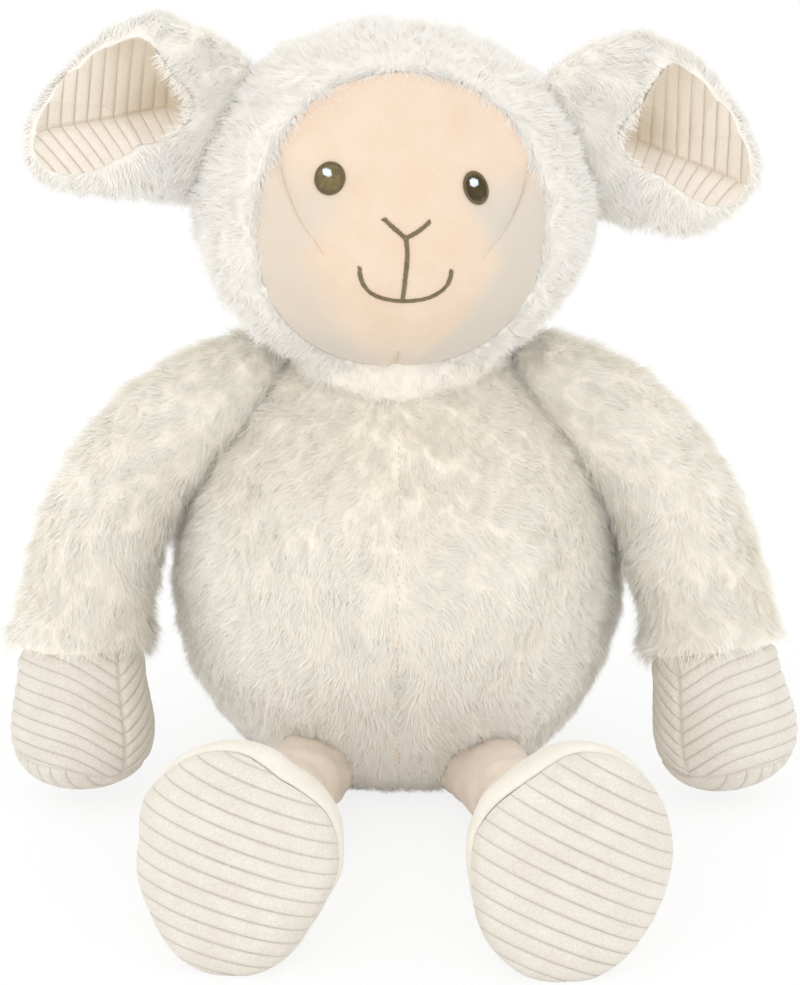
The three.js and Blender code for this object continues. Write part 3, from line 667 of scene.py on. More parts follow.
def grow_pile(
    name, skin, field, body, keep, comb, length, lie=63.0, swirl=36.0, white=False, tone=usual_tone
):
    """Combed pile on a skin: soft locks that lie over the way comb says, pale where tone is near 1."""
    sizes = bpy.context.scene.sheep_sizes
    count, seed = PILES[field]
    seed += "left" in name
    draws = np.random.default_rng(seed * 1000 + sizes.pile_seed)
    roots, normals = scattered(skin, count, draws, keep)
    count = len(roots)
    reach = length(roots) * draws.uniform(*SPREAD["length"], count) * (sizes.pile_length / MM / USUAL_PILE)
    ways = comb(roots)
    ways = unit(ways - normals * (ways * normals).sum(axis=1, keepdims=True))
    turn = np.radians(swirl * wander(roots, seed + 11, 34) + 0.6 * swirl * wander(roots, seed + 12, 11))
    turn += np.radians(draws.normal(0, SPREAD["turn"], count))
    ways = ways * np.cos(turn)[:, None] + np.cross(normals, ways) * np.sin(turn)[:, None]
    lying = lie + 6 * wander(roots, seed + 13, 16) + draws.normal(0, SPREAD["lie"], count)
    lying = np.radians(np.clip(lying, 20, 84))
    tips = roots + (normals * np.cos(lying)[:, None] + ways * np.sin(lying)[:, None]) * reach[:, None]
    leaders = draws.choice(count, max(count // LOCK_STRANDS, 4), replace=False)
    tree = kdtree.KDTree(len(leaders))
    for index, leader in enumerate(leaders):
        tree.insert(roots[leader], index)
    tree.balance()
    nearest = leaders[np.fromiter((tree.find(root)[1] for root in roots), np.int64, count)]
    tips = tips + (tips[nearest] - tips) * (LOCK_PULL * draws.uniform(*SPREAD["pull"], count))[:, None]
    roots = roots - normals * 0.5
    tips[:, 2] = np.maximum(tips[:, 2], 0.35)
    tones = tone(roots) + 0.06 * wander(roots, seed + 14, 18) + draws.normal(0, SPREAD["tone"], count)
    tones += 0.03 * draws.normal(size=count)[nearest]
    widths = sizes.strand_width / MM * draws.uniform(*SPREAD["width"], count) * 1.0
    piece = strand_mesh(name, roots, tips, normals, widths, np.clip(tones, 0.02, 0.98))
    colours = bpy.context.scene.sheep_colours
    if white:
        material = pile_material("White pile", colours.head_tip, colours.head_root)
    else:
        material = pile_material("Cream pile", colours.pile_tip, colours.pile_root)
    return finish_piece(piece, material, body)


def backing(white=False):
    name, shades = "Pile backing", (srgb(247, 241, 229), srgb(236, 228, 213))
    if white:
        name, shades = "White backing", (srgb(246, 242, 234), srgb(234, 229, 218))
    return grain_material(name, *shades, fibre=900, bump=0.6, sheen=0.15)


# Pieces


def ball_shape(centre, halves):
    def shape(angle, share):
        slope = share * math.pi
        ring = np.sin(slope)
        return centre + columns(
            halves[0] * ring * np.cos(angle), halves[1] * ring * np.sin(angle), halves[2] * np.cos(slope)
        )

    return shape


class SHEEP_OT_body(Operator):
    """Makes the stuffed body's skin and its four fields of pile"""

    bl_idname = "sheep.body"
    bl_label = "Body"

    def execute(self, context):
        skin = shaped_ball("body_skin", 160, 120, self.shape)
        puff(skin, (21, 1.0, 55), (22, 0.6, 15), lift=1.2)
        points = coordinates(skin)
        points[:, 2] = np.maximum(points[:, 2], 0)
        set_coordinates(skin, points)
        nodes = [f"body_{end}_{side}_panel" for end in ("front", "back") for side in ("left", "right")]
        nodes += ["body_base_panel", "bead_pouch", "body_stuffing"]
        finish_piece(skin, backing(), "torso", nodes)

        def length(points):
            return 3.6 + 3.4 * smooth(4, 46, points[:, 2])

        # Painted light and shade: the pile is paler low down, where the legs, feet and floor shade it, and
        # darker high up, where the head shades the chest
        def tone(points):
            return 0.92 - 0.4 * smooth(80, 150, points[:, 2])

        for end, forward in (("front", -1), ("back", 1)):
            for side, sign in SIDES:

                def keep(points):
                    off_seat = (points[:, 2] > 1.5) | (np.hypot(points[:, 0], points[:, 1]) > 44)
                    quarter = (points[:, 1] * forward > 0) & (points[:, 0] * sign > 0.5)
                    return off_neck(points, 6) & off_seat & quarter

                name, field = f"body_{end}_{side}_pile", f"body_{end}"
                grow_pile(name, skin, field, "torso", keep, self.comb, length, tone=tone)
        self.seam(skin)
        return {"FINISHED"}

    @staticmethod
    def shape(angle, share):
        out, up = along(BODY_PROFILE[::-1], share).T
        out, up = np.maximum(out, 0), np.clip(up, 0, 1)
        aside, ahead = BODY["wide"] * np.cos(angle), BODY["deep"] * np.sin(angle)
        return columns(out * aside, out * ahead, up * BODY["height"])

    @staticmethod
    def comb(points):
        """The pile lies down and parts at the front seam, over which its first few millimetres close."""
        x, off = points[:, 0], np.abs(points[:, 0])
        aside = (0.2 + 0.4 * np.exp(-off / 26)) * smooth(3, 12, off) - 0.25 * np.exp(-off / 3)
        return columns(np.sign(x) * aside, 0, -1)

    @staticmethod
    def seam(skin):
        """Shows the thread of the seam down the front, where the pile parts."""
        points = coordinates(skin)
        front = points[(np.abs(points[:, 0]) < 1) & (points[:, 1] < 0)]
        front = front[np.argsort(front[:, 2])]
        heights = np.arange(26, 146, 2.2)
        draws = np.random.default_rng(27)
        aside = 0.4 * draws.normal(size=len(heights))
        places = columns(aside, np.interp(heights, front[:, 2], front[:, 1]), heights)
        ways = unit(np.gradient(places, axis=0) * [0, 1, 1])
        outs = np.cross(ways, [1.0, 0.0, 0.0])
        outs *= -np.sign(outs[:, 1:2])
        cloth = thread_material("Seam thread", srgb(226, 204, 184), srgb(204, 178, 156))
        lengths = 1.5 * draws.uniform(0.7, 1.2, len(heights))
        places = places + 1.9 * outs
        thread_run("body_seam", places, ways, outs, lengths, width=0.4, material=cloth, body="torso")


class SHEEP_OT_neck(Operator):
    """Makes the neck's ball and its short pile"""

    bl_idname = "sheep.neck"
    bl_label = "Neck"

    def execute(self, context):
        skin = shaped_ball("neck_skin", 48, 32, ball_shape(NECK_CENTRE, (NECK_RADIUS - 1,) * 3))
        finish_piece(skin, backing(), "neck", ["neck_band", "neck_stuffing"])

        def keep(points):
            return np.abs(points[:, 2] - NECK_CENTRE[2]) < 14

        def comb(points):
            return np.tile([0.0, 0.0, -1.0], (len(points), 1))

        def length(points):
            return np.full(len(points), 6.0)

        grow_pile("neck_pile", skin, "neck", "neck", keep, comb, length, white=True)
        return {"FINISHED"}


class SHEEP_OT_head(Operator):
    """Makes the hood: the stuffed head and the pile on both sides of it"""

    bl_idname = "sheep.head"
    bl_label = "Head"

    def execute(self, context):
        ball = ball_shape(np.zeros(3), HEAD_HALF - 1.2)
        skin = shaped_ball("hood_skin", 144, 108, lambda angle, share: from_head(ball(angle, share)))
        still = coordinates(skin)
        local, gap = to_head(still)
        puff(skin, (23, 0.8, 40), (24, 0.5, 14), lift=1.2)
        covered = (gap < 1.5) & (local[:, 1] < 0)
        set_coordinates(skin, np.where(covered[:, None], still, coordinates(skin)))
        nodes = ["hood_left_panel", "hood_right_panel", "head_stuffing"]
        finish_piece(skin, backing(white=True), "head", nodes)

        def length(points):
            local, gap = to_head(points)
            near = smooth(14, 2, gap) * smooth(0, -20, local[:, 1])
            beard = smooth(-32, -48, local[:, 2]) * smooth(20, -10, local[:, 1])
            return 7.2 - 2.0 * near + 3.0 * beard

        def comb(points):
            x, y, z = to_head(points)[0].T
            front = smooth(10, -40, y)
            down = (z - 4) * front / 30 - 0.55 * (1 - front)
            return columns(x * front / 30, (1 - front) * 0.9, down) @ HEAD_TURNED.T

        for side, sign in SIDES:

            def keep(points):
                local, gap = to_head(points)
                return ((gap > 0.4) | (local[:, 1] > 0)) & off_neck(points, 3) & (local[:, 0] * sign > 0)

            grow_pile(f"hood_{side}_pile", skin, "hood", "head", keep, comb, length, white=True)

        def edge(points):
            local, gap = to_head(points)
            return (gap > -0.5) & (gap < 4.5) & (local[:, 1] < 0)

        def inward(points):
            return columns(-0.5 * to_head(points)[0][:, 0] / 50, 0, -1) @ HEAD_TURNED.T

        def overhang(points):
            return 5.5 + 3.5 * smooth(-10, 35, to_head(points)[0][:, 2])

        grow_pile("hood_fringe", skin, "fringe", "head", edge, inward, overhang, lie=82, swirl=28, white=True)
        return {"FINISHED"}


def face_place(x, z, lift=0.0):
    """A point on the dressed face, in the head's frame: the muzzle swells and the darts pull in."""
    wide, tall = x / (HEAD_HALF[0] + FACE_LIFT), z / (HEAD_HALF[2] + FACE_LIFT)
    front = -(HEAD_HALF[1] + FACE_LIFT) * np.sqrt(np.maximum(1 - wide**2 - tall**2, 0.01))
    muzzle = 3.2 * np.exp(-((x / 30) ** 2) - ((z + 14) / 27) ** 2)
    brow = 1.1 * np.exp(-((x / 26) ** 2) - ((z - 34) / 16) ** 2)
    return columns(x, front - muzzle - brow + dart_depth(x, z) - lift, z)


def dart_depth(x, z):
    """How deep the face's darts pull it in: two at the cheeks and one at the chin."""
    total = np.zeros(len(x))
    darts = ((CHEEK_DART, np.abs(x), (1, 0.15), 2.8), (CHIN_DART, x, (0.4, 1), 2.0))
    for places, aside, ends, strong in darts:
        run = along(places, np.linspace(0, 1, 40))
        fade = np.linspace(*ends, 40)
        away = np.hypot(aside[:, None] - run[None, :, 0], z[:, None] - run[None, :, 1])
        total += strong * fade[away.argmin(axis=1)] * np.exp(-((away.min(axis=1) / 2.0) ** 2))
    return total


class SHEEP_OT_face(Operator):
    """Makes the velour face"""

    bl_idname = "sheep.face"
    bl_label = "Face"

    def execute(self, context):
        def shape(angle, share):
            front, part = two_sheets(share, SHEETS["face"])
            x, z = FACE_OUTLINE.place(angle, 1.04 * part)
            points = face_place(x, z)
            points[:, 1] += np.where(front, 3.4 * part**9, 4.4)
            # Painted shade: the cheeks outside the darts, the sheep's left cheek most, and the chin are
            # marked for a darker colour where less light falls on them
            cheek = smooth(0, 13, np.abs(x) - 27 + 0.55 * np.abs(z + 6)) * smooth(30, 10, z)
            self.shade = np.clip(cheek * np.where(x > 0, 1.0, 0.62) + 0.6 * smooth(-28, -50, z), 0, 1)
            return from_head(points)

        piece = shaped_ball("face", 160, 110, shape)
        # The velour's last colour is the painted shade for the cheeks and chin
        velour = grain_material(
            "Peach velour", context.scene.sheep_colours.face, srgb(224, 197, 173), fibre=1500, patch=60,
            strengths=(0.25, 0.5), bump=0.5, sheen=0.3, painted_shade=srgb(211, 202, 188),
        )
        add_vectors(piece, "painted_shade", self.shade)
        finish_piece(piece, velour, "head", ["face_panel"])
        return {"FINISHED"}


def thread_run(name, places, along_ways, out_ways, lengths, width, material, body):
    """Short satin stitches as one mesh: each lies at a place, along its own way, a little proud."""
    stations = ((-0.5, 0.35, -0.5), (-0.3, 0.9, 0.1), (0.3, 0.9, 0.1), (0.5, 0.35, -0.5))
    sides = 6
    last, total = (len(stations) - 1) * sides, len(stations) * sides
    across = unit(np.cross(along_ways, out_ways))
    rings = []
    for along_share, wide, lift in stations:
        centre = places + along_ways * (along_share * lengths)[:, None] + out_ways * (lift * width)
        for side in range(sides):
            angle = 2 * math.pi * side / sides
            out = across * math.cos(angle) + out_ways * (0.8 * math.sin(angle))
            rings.append(centre + out * (wide * width / 2))
    points = np.stack(rings, axis=1).reshape(-1, 3)
    faces = [tuple(range(sides))[::-1], tuple(range(last, total))]
    for row in range(0, last, sides):
        for side in range(sides):
            low, high = row + side, row + (side + 1) % sides
            faces.append((low, high, high + sides, low + sides))
    starts = range(0, total * len(places), total)
    listed = [tuple(start + corner for corner in face) for start in starts for face in faces]
    mesh = bpy.data.meshes.new(name)
    mesh.from_pydata((points * MM).tolist(), [], listed)
    piece = new_piece(name, mesh)
    face_outwards(piece)
    return finish_piece(piece, material, body)


def thread_material(name, color, shade):
    strengths = (0.35, 0.35)
    return grain_material(name, color, shade, fibre=2600, patch=500, strengths=strengths, bump=0.2, sheen=0.2)


def stitched_line(places, spacing):
    """Evenly spaced places along a smooth line on the face, with the line's way at each."""
    fine = along(places, np.linspace(0, 1, 400))
    flat = face_place(fine[:, 0], fine[:, 1])
    travelled = np.concatenate([[0], np.cumsum(np.linalg.norm(np.diff(flat, axis=0), axis=1))])
    stops = np.arange(spacing / 2, travelled[-1], spacing)
    x, z = np.interp(stops, travelled, fine[:, 0]), np.interp(stops, travelled, fine[:, 1])
    return x, z, unit(columns(np.gradient(x), np.gradient(z)))


def face_stitches(x, z, ways, lift=0.35):
    """Places, ways and outward ways of stitches on the face, in the sheep's frame."""
    places = face_place(x, z, lift)
    ahead = face_place(x + 0.5 * ways[:, 0], z + 0.5 * ways[:, 1], lift)
    right, above = face_place(x + 0.5, z, lift) - places, face_place(x, z + 0.5, lift) - places
    outward = unit(np.cross(right, above))
    return from_head(places), unit(ahead - places) @ HEAD_TURNED.T, outward @ HEAD_TURNED.T


class SHEEP_OT_embroidery(Operator):
    """Stitches the eyes, the nose and the smile"""

    bl_idname = "sheep.embroidery"
    bl_label = "Embroidery"

    def execute(self, context):
        dark = thread_material("Olive brown thread", context.scene.sheep_colours.thread, srgb(96, 84, 60))
        stitches = []
        for line in NOSE_LINES + [SMILE]:
            x, z, way = stitched_line(line, 0.4)
            slant = columns(-way[:, 1] + 0.55 * way[:, 0], way[:, 0] + 0.55 * way[:, 1])
            stitches.append(face_stitches(x, z, unit(slant)))
        found = [np.concatenate(parts) for parts in zip(*stitches)]
        lengths = 1.85 * np.random.default_rng(5).uniform(0.8, 1.15, len(found[0]))
        piece = thread_run("nose_and_mouth", *found, lengths, width=0.46, material=dark, body="head")
        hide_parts("nose_and_mouth_stitching")
        cloth = thread_material("Peach thread", srgb(226, 200, 178), srgb(204, 174, 150))
        for index, line in enumerate((CHEEK_DART, [(-x, z) for x, z in CHEEK_DART], CHIN_DART)):
            x, z, way = stitched_line(line, 0.8)
            found, lengths = face_stitches(x, z, way, lift=0.0), np.ones(len(x))
            thread_run(f"dart_seam_{index}", *found, lengths, width=0.28, material=cloth, body="head")
        self.eye("left", thread_material("Dark brown thread", srgb(92, 78, 50), srgb(38, 30, 16)))
        self.eye("right", thread_material("Brown thread", srgb(150, 132, 92), srgb(62, 50, 28)))
        return {"FINISHED"}

    @staticmethod
    def eye(name, dark):
        """Stitches a pupil of upright threads, a rim round it and a small glint."""
        eye = EYES[name]
        lean, half = math.radians(eye["lean"]), np.array(eye["half"])
        turned = np.array([[math.cos(lean), -math.sin(lean)], [math.sin(lean), math.cos(lean)]])
        draws = np.random.default_rng(17)

        def put(label, x, z, ways, lengths, width, material, lift, upright=False):
            local = columns(x, z)
            if not upright:
                local, ways = local @ turned.T, ways @ turned.T
            local = local + eye["place"]
            found = face_stitches(local[:, 0], local[:, 1], ways, lift)
            lengths = lengths * draws.uniform(0.94, 1.06, len(lengths))
            return thread_run(f"{name}_eye_{label}", *found, lengths, width, material, "head")

        across = np.arange(-half[0] + 0.5, half[0] - 0.3, 0.36)
        tall = half[1] * np.sqrt(1 - (across / half[0]) ** 2) * 0.93
        ways = np.tile([0.0, 1.0], (len(across), 1))
        pupil = put("pupil", across, 0, ways, 2 * tall, width=0.52, material=dark, lift=0.4)
        angles = np.linspace(0, 2 * math.pi, 76, endpoint=False)
        radial = columns(np.cos(angles), np.sin(angles))
        rim = thread_material("Olive thread", srgb(128, 114, 82), srgb(84, 72, 46))
        x, z = (half * radial).T
        put("rim", x, z, radial, np.full(len(angles), 1.15), width=0.5, material=rim, lift=0.55)
        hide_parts(f"{name}_eye")
        glint = thread_material("Pale blue thread", srgb(238, 245, 250), srgb(212, 224, 234))
        steps = np.arange(-1.25, 1.3, 0.36)
        slant = np.tile([-0.2, 0.98], (len(steps), 1))
        tall = 3.5 - 1.0 * np.abs(steps)
        put("glint", steps - 0.9, 1.9, slant, tall, width=0.5, material=glint, lift=0.85, upright=True)


class EarForm:
    """The form of one ear in the head's frame, written for an ear on the left."""

    def __init__(self, name):
        self.stations, self.fold = EAR_STATIONS[name], EAR_FOLD[name]
        self.middle = EAR_MOUTH_MIDDLE[name]
        self.mouth = Outline(EAR_MOUTH[name], self.middle, round_by=5)

    def shape(self, angle, share):
        out, up, tall, deep = along(self.stations, share).T
        half_tall = np.maximum(tall * EAR["height"] / 2, 0.1)
        half_deep = np.maximum(deep * EAR["deep"] / 2, 0.1)
        return columns(
            EAR["root"] + out * EAR["reach"], EAR["behind"] + half_deep * np.sin(angle),
            EAR["bottom"] + up * EAR["height"] + half_tall * np.cos(angle),
        )

    def front(self, x, z):
        """The y of the ear's front surface."""
        out, up, tall, deep = along(self.stations, np.linspace(0, 1, 200)).T
        reach = EAR["root"] + out * EAR["reach"]
        middle = np.interp(x, reach, EAR["bottom"] + up * EAR["height"])
        half_tall = np.interp(x, reach, np.maximum(tall, 0.05) * EAR["height"] / 2)
        half_deep = np.interp(x, reach, np.maximum(deep, 0.05) * EAR["deep"] / 2)
        return EAR["behind"] - half_deep * np.sqrt(np.maximum(1 - ((z - middle) / half_tall) ** 2, 0.02))

    def back(self, x, z):
        return 2 * EAR["behind"] - self.front(x, z)

    def above_fold(self, x, z):
        """How far above the lining's fold a point lies, negative below it."""
        (x0, z0), (x1, z1) = self.fold
        run = np.array([x0 - x1, z0 - z1])
        run /= np.linalg.norm(run)
        return (z - z1) * run[0] - (x - x1) * run[1]

    def depth(self, x, z):
        """How far the scoop is pushed in behind the ear's front."""
        inside = np.maximum(-self.mouth.gap(x, z), 0)
        deep = np.interp(x, [73, 90, 112, 130], [21, 19, 13, 8])
        fold = self.above_fold(x, z)
        rise = np.where(fold > 0, np.exp(-fold / 40), np.exp(fold / 13))
        return deep * (1 - np.exp(-inside / 4.5)) * rise


class SHEEP_OT_ears(Operator):
    """Makes the two ears: a pile scoop and its folded corduroy lining"""

    bl_idname = "sheep.ears"
    bl_label = "Ears"

    def execute(self, context):
        # The lining's last colour is painted shade for the wall of the scoop
        self.cloth = grain_material(
            "Ear corduroy", context.scene.sheep_colours.lining, srgb(219, 206, 190), fibre=1500,
            strengths=(0.4, 0.25), bump=0.5, groove=srgb(200, 187, 170), painted_shade=srgb(203, 188, 165),
        )
        for name, sign in SIDES:
            ear = EarForm(name)

            def scoop(angle, share):
                points = ear.shape(angle, share)
                x, y, z = points.T
                rolled = 2.2 * smooth(-0.5, -2, ear.mouth.gap(x, z))
                pushed = np.minimum(y + ear.depth(x, z) + rolled, ear.back(x, z) - 2)
                points[:, 1] = np.where(y < EAR["behind"], np.maximum(pushed, y), y)
                points[:, 0] *= sign
                return from_head(points)

            shell = shaped_ball(f"{name}_ear_skin", 96, 96, scoop)
            finish_piece(shell, backing(white=True), f"{name}_ear", [f"{name}_ear"])
            self.lining(ear, name, sign, context.scene.sheep_sizes.rib_height / MM)

            def placed(points):
                x, y, z = to_head(points)[0].T
                return x * sign, y, z

            def keep(points):
                x, y, z = placed(points)
                mouth = (ear.mouth.gap(x, z) < 0.2) & (y < ear.back(x, z) - 1)
                return ~mouth & (x > EAR["root"] + 6)

            def comb(points):
                x, _, z = placed(points)
                base = smooth(92, 76, x)[:, None]
                ways = unit(columns(x - ear.middle[0], 0, z - ear.middle[1]))
                ways = ways * (1 - base) + base * np.array([1.0, 0.0, -0.35])
                ways[:, 2] -= 0.25
                ways[:, 0] *= sign
                return ways @ HEAD_TURNED.T

            def length(points):
                return np.interp(placed(points)[0], [60, 85, 130], [8.5, 8.0, 6.5])

            # Painted light: the ears' pile is paler than the hood's, to offset the shade that the head and
            # the ear's own form throw on it
            def tone(points):
                return 0.93

            pile, body = f"{name}_ear_pile", f"{name}_ear"
            grow_pile(pile, shell, "ear", body, keep, comb, length, lie=66, white=True, tone=tone)
        return {"FINISHED"}

    def lining(self, ear, name, sign, height):
        """Lays the corduroy into the scoop: the ribs of its wall and of its folded lip run two ways."""

        def shape(angle, share):
            front, part = two_sheets(share, SHEETS["lining"])
            x, z = ear.mouth.place(angle, 1.02 * part**0.85)
            fold = ear.above_fold(x, z)
            wall, lip = (x + 0.07 * (z - 26)) / LINING_PITCH, (x - 0.85 * fold) / LINING_PITCH
            # Painted shade: the wall above the fold is marked darker, most in the deep corner by the root,
            # where the scoop shades it
            self.shaded = smooth(-1, 1, fold) * (0.2 + 0.7 * smooth(116, 82, x))
            self.ribs = ((wall, lip, 0 * x), (-fold, np.full(len(x), FAR)))
            rise, seam = ribbed(*self.ribs)
            y = ear.front(x, z) + ear.depth(x, z) + np.where(front, 0.5 * seam - height * rise, 1.3)
            return from_head(columns(sign * x, y, z))

        piece = shaped_ball(f"{name}_ear_lining_cloth", 176, 96, shape)
        add_vectors(piece, "ribs", *self.ribs[0])
        add_vectors(piece, "seams", *self.ribs[1])
        add_vectors(piece, "painted_shade", self.shaded)
        finish_piece(piece, self.cloth, f"{name}_ear", [f"{name}_ear_lining"])


def arm_ways(name, sign, stations, radius, deep):
    """Makes the middle and the shape of a limb that sways as the photographed arm does."""
    elbow, paw = ARM_SWAY[name]
    drop = SHOULDER["height"] - ARM["floor"]

    def centre(share):
        out, forward, down, full = along(stations, share, (ARM["reach"], ARM["forward"], drop, radius)).T
        aside = elbow * np.sin(np.pi * np.clip(down, 0, 1)) + paw * np.clip(down, 0, 1) ** 2
        middle = columns(
            sign * (SHOULDER["out"] + out * ARM["reach"] + aside),
            -SHOULDER["forward"] - forward * ARM["forward"],
            SHOULDER["height"] - down * drop,
        )
        return middle, np.maximum(full, 0) * radius

    def shape(angle, share):
        middle, wide = centre(share)
        step = 0.012
        run = unit(centre(np.clip(share + step, 0, 1))[0] - centre(np.clip(share - step, 0, 1))[0])
        across = unit(np.cross([0.0, 1.0, 0.0], run))
        aside, behind = wide * np.cos(angle), deep * wide * np.sin(angle)
        points = middle + across * aside[:, None] + np.cross(run, across) * behind[:, None]
        points[:, 2] = np.maximum(points[:, 2], ARM["floor"])
        return points

    return centre, shape


class SHEEP_OT_arms(Operator):
    """Makes the two arms: a pile sleeve with a fringed cuff and a corduroy mitt"""

    bl_idname = "sheep.arms"
    bl_label = "Arms"

    def execute(self, context):
        self.cloth = grain_material(
            "Cream corduroy", context.scene.sheep_colours.corduroy, srgb(207, 199, 186), fibre=1400,
            strengths=(0.5, 0.25), bump=0.55, groove=srgb(199, 193, 180),
        )
        self.height = context.scene.sheep_sizes.rib_height / MM
        cuff = context.scene.sheep_sizes.cuff_length / MM
        for name, sign in SIDES:
            centre, shape = arm_ways(name, sign, SLEEVE_STATIONS, ARM["radius"], ARM["deep"])
            skin = shaped_ball(f"{name}_sleeve_skin", 72, 120, shape)
            puff(skin, (25 + sign, 0.8, 30), (28 + sign, 0.5, 13), lift=0.8)
            nodes = [f"{name}_sleeve", f"{name}_arm_stuffing"]
            finish_piece(skin, backing(), f"{name}_arm", nodes)
            middles = centre(np.linspace(0.1, 0.86, 60))[0]
            runs = unit(np.gradient(middles, axis=0))
            end, low_first = middles[-1], np.argsort(-middles[:, 2])[::-1]

            def comb(points):
                heights, ways = middles[low_first, 2], runs[low_first].T
                return columns(*(np.interp(points[:, 2], heights, way) for way in ways))

            def length(points):
                return np.interp(points[:, 2], [end[2] - 2, end[2] + 14], [cuff, 8.0])

            def keep(points):
                return (points - end) @ runs[-1] < 0.8

            grow_pile(f"{name}_sleeve_pile", skin, "sleeve", f"{name}_arm", keep, comb, length)
            self.mitt(name, sign)
        return {"FINISHED"}

    def mitt(self, name, sign):
        """Makes the mitt: the ribs of its outer and inner panels meet at a side seam, over a gusset."""
        centre, limb = arm_ways(name, sign, MITT_STATIONS, PAW_HALF, 0.9)

        def shape(angle, share):
            points = limb(angle, share)
            middle, wide = centre(share)
            wide = np.maximum(wide, 1.0)
            across = sign * (points[:, 0] - middle[:, 0])
            behind = points[:, 1] - middle[:, 1]
            out = across + PAW_SEAM * wide
            lag = behind + 0.73 * 0.9 * wide
            down = SHOULDER["height"] - points[:, 2]
            knee = out - 3 * np.log1p(np.exp((out - 16) / 3))
            rise = MITT_RUN["out"] * out + MITT_RUN["bend"] * knee - MITT_RUN["back"] * lag
            around = np.arctan2(-behind, across) % (2 * math.pi)
            turned = np.clip(around - math.acos(-PAW_SEAM), 0, 2 * math.pi)
            wrap = MITT_RUN["wrap"] * turned * wide
            outer, inner = (down + rise) / MITT_PITCH, (down + wrap) / MITT_PITCH
            under = (-0.72 * across - 0.7 * points[:, 1]) / CORD_PITCH
            line = ARM["floor"] + 9.3 + 5.5 * smooth(0, 25, out)
            self.ribs = ((outer, inner, under), (-out, np.where(share > 0.4, points[:, 2] - line, FAR)))
            rib, seam = ribbed(*self.ribs)
            outward = unit(points - middle) * np.array([1, 1, 0.6])
            moved = points + outward * (self.height * (rib - 0.5) - 0.3 * seam)[:, None]
            moved[:, 2] = np.maximum(moved[:, 2], 0.3)
            return moved

        piece = shaped_ball(f"{name}_mitt", 240, 180, shape)
        add_vectors(piece, "ribs", *self.ribs[0])
        add_vectors(piece, "seams", *self.ribs[1])
        nodes = [f"{name}_mitt_{part}" for part in ("outer_panel", "inner_panel", "gusset")]
        finish_piece(piece, self.cloth, f"{name}_arm", nodes)


class SHEEP_OT_legs(Operator):
    """Makes the two short velour legs"""

    bl_idname = "sheep.legs"
    bl_label = "Legs"

    def execute(self, context):
        velour = grain_material(
            "Leg velour", context.scene.sheep_colours.legs, srgb(226, 206, 188), fibre=1500, patch=120,
            strengths=(0.22, 0.35), bump=0.6, sheen=0.3,
        )
        for name, sign in SIDES:
            hip = np.array([sign * HIP["out"], -HIP["forward"], HIP["height"]])
            run = np.array(ANKLE[name]) - hip
            ahead = run / np.linalg.norm(run)
            across = np.cross(ahead, [0, 0, 1.0])
            across /= np.linalg.norm(across)
            above = np.cross(across, ahead)

            def shape(angle, share):
                place = -0.1 + 1.12 * share
                rounding = np.minimum(1, 4.5 * np.sqrt(np.clip(share * (1 - share), 0, 1)))
                radius = (LEG_RADIUS + place) * rounding
                crease = np.sin(place * 40 + 2.2 * np.cos(angle) + np.sin(3 * angle))
                radius = radius * (1 + 0.03 * crease * smooth(0.3, 0.6, place))
                aside, up = radius * np.cos(angle), radius * np.sin(angle)
                return hip + run * place[:, None] + across * aside[:, None] + above * up[:, None]

            piece = shaped_ball(f"{name}_leg_tube", 96, 96, shape)
            puff(piece, (81 + sign, 0.7, 18), (84 + sign, 0.35, 8))
            nodes = [f"{name}_leg", f"{name}_leg_stuffing"]
            finish_piece(piece, velour, f"{name}_leg", nodes)
        return {"FINISHED"}


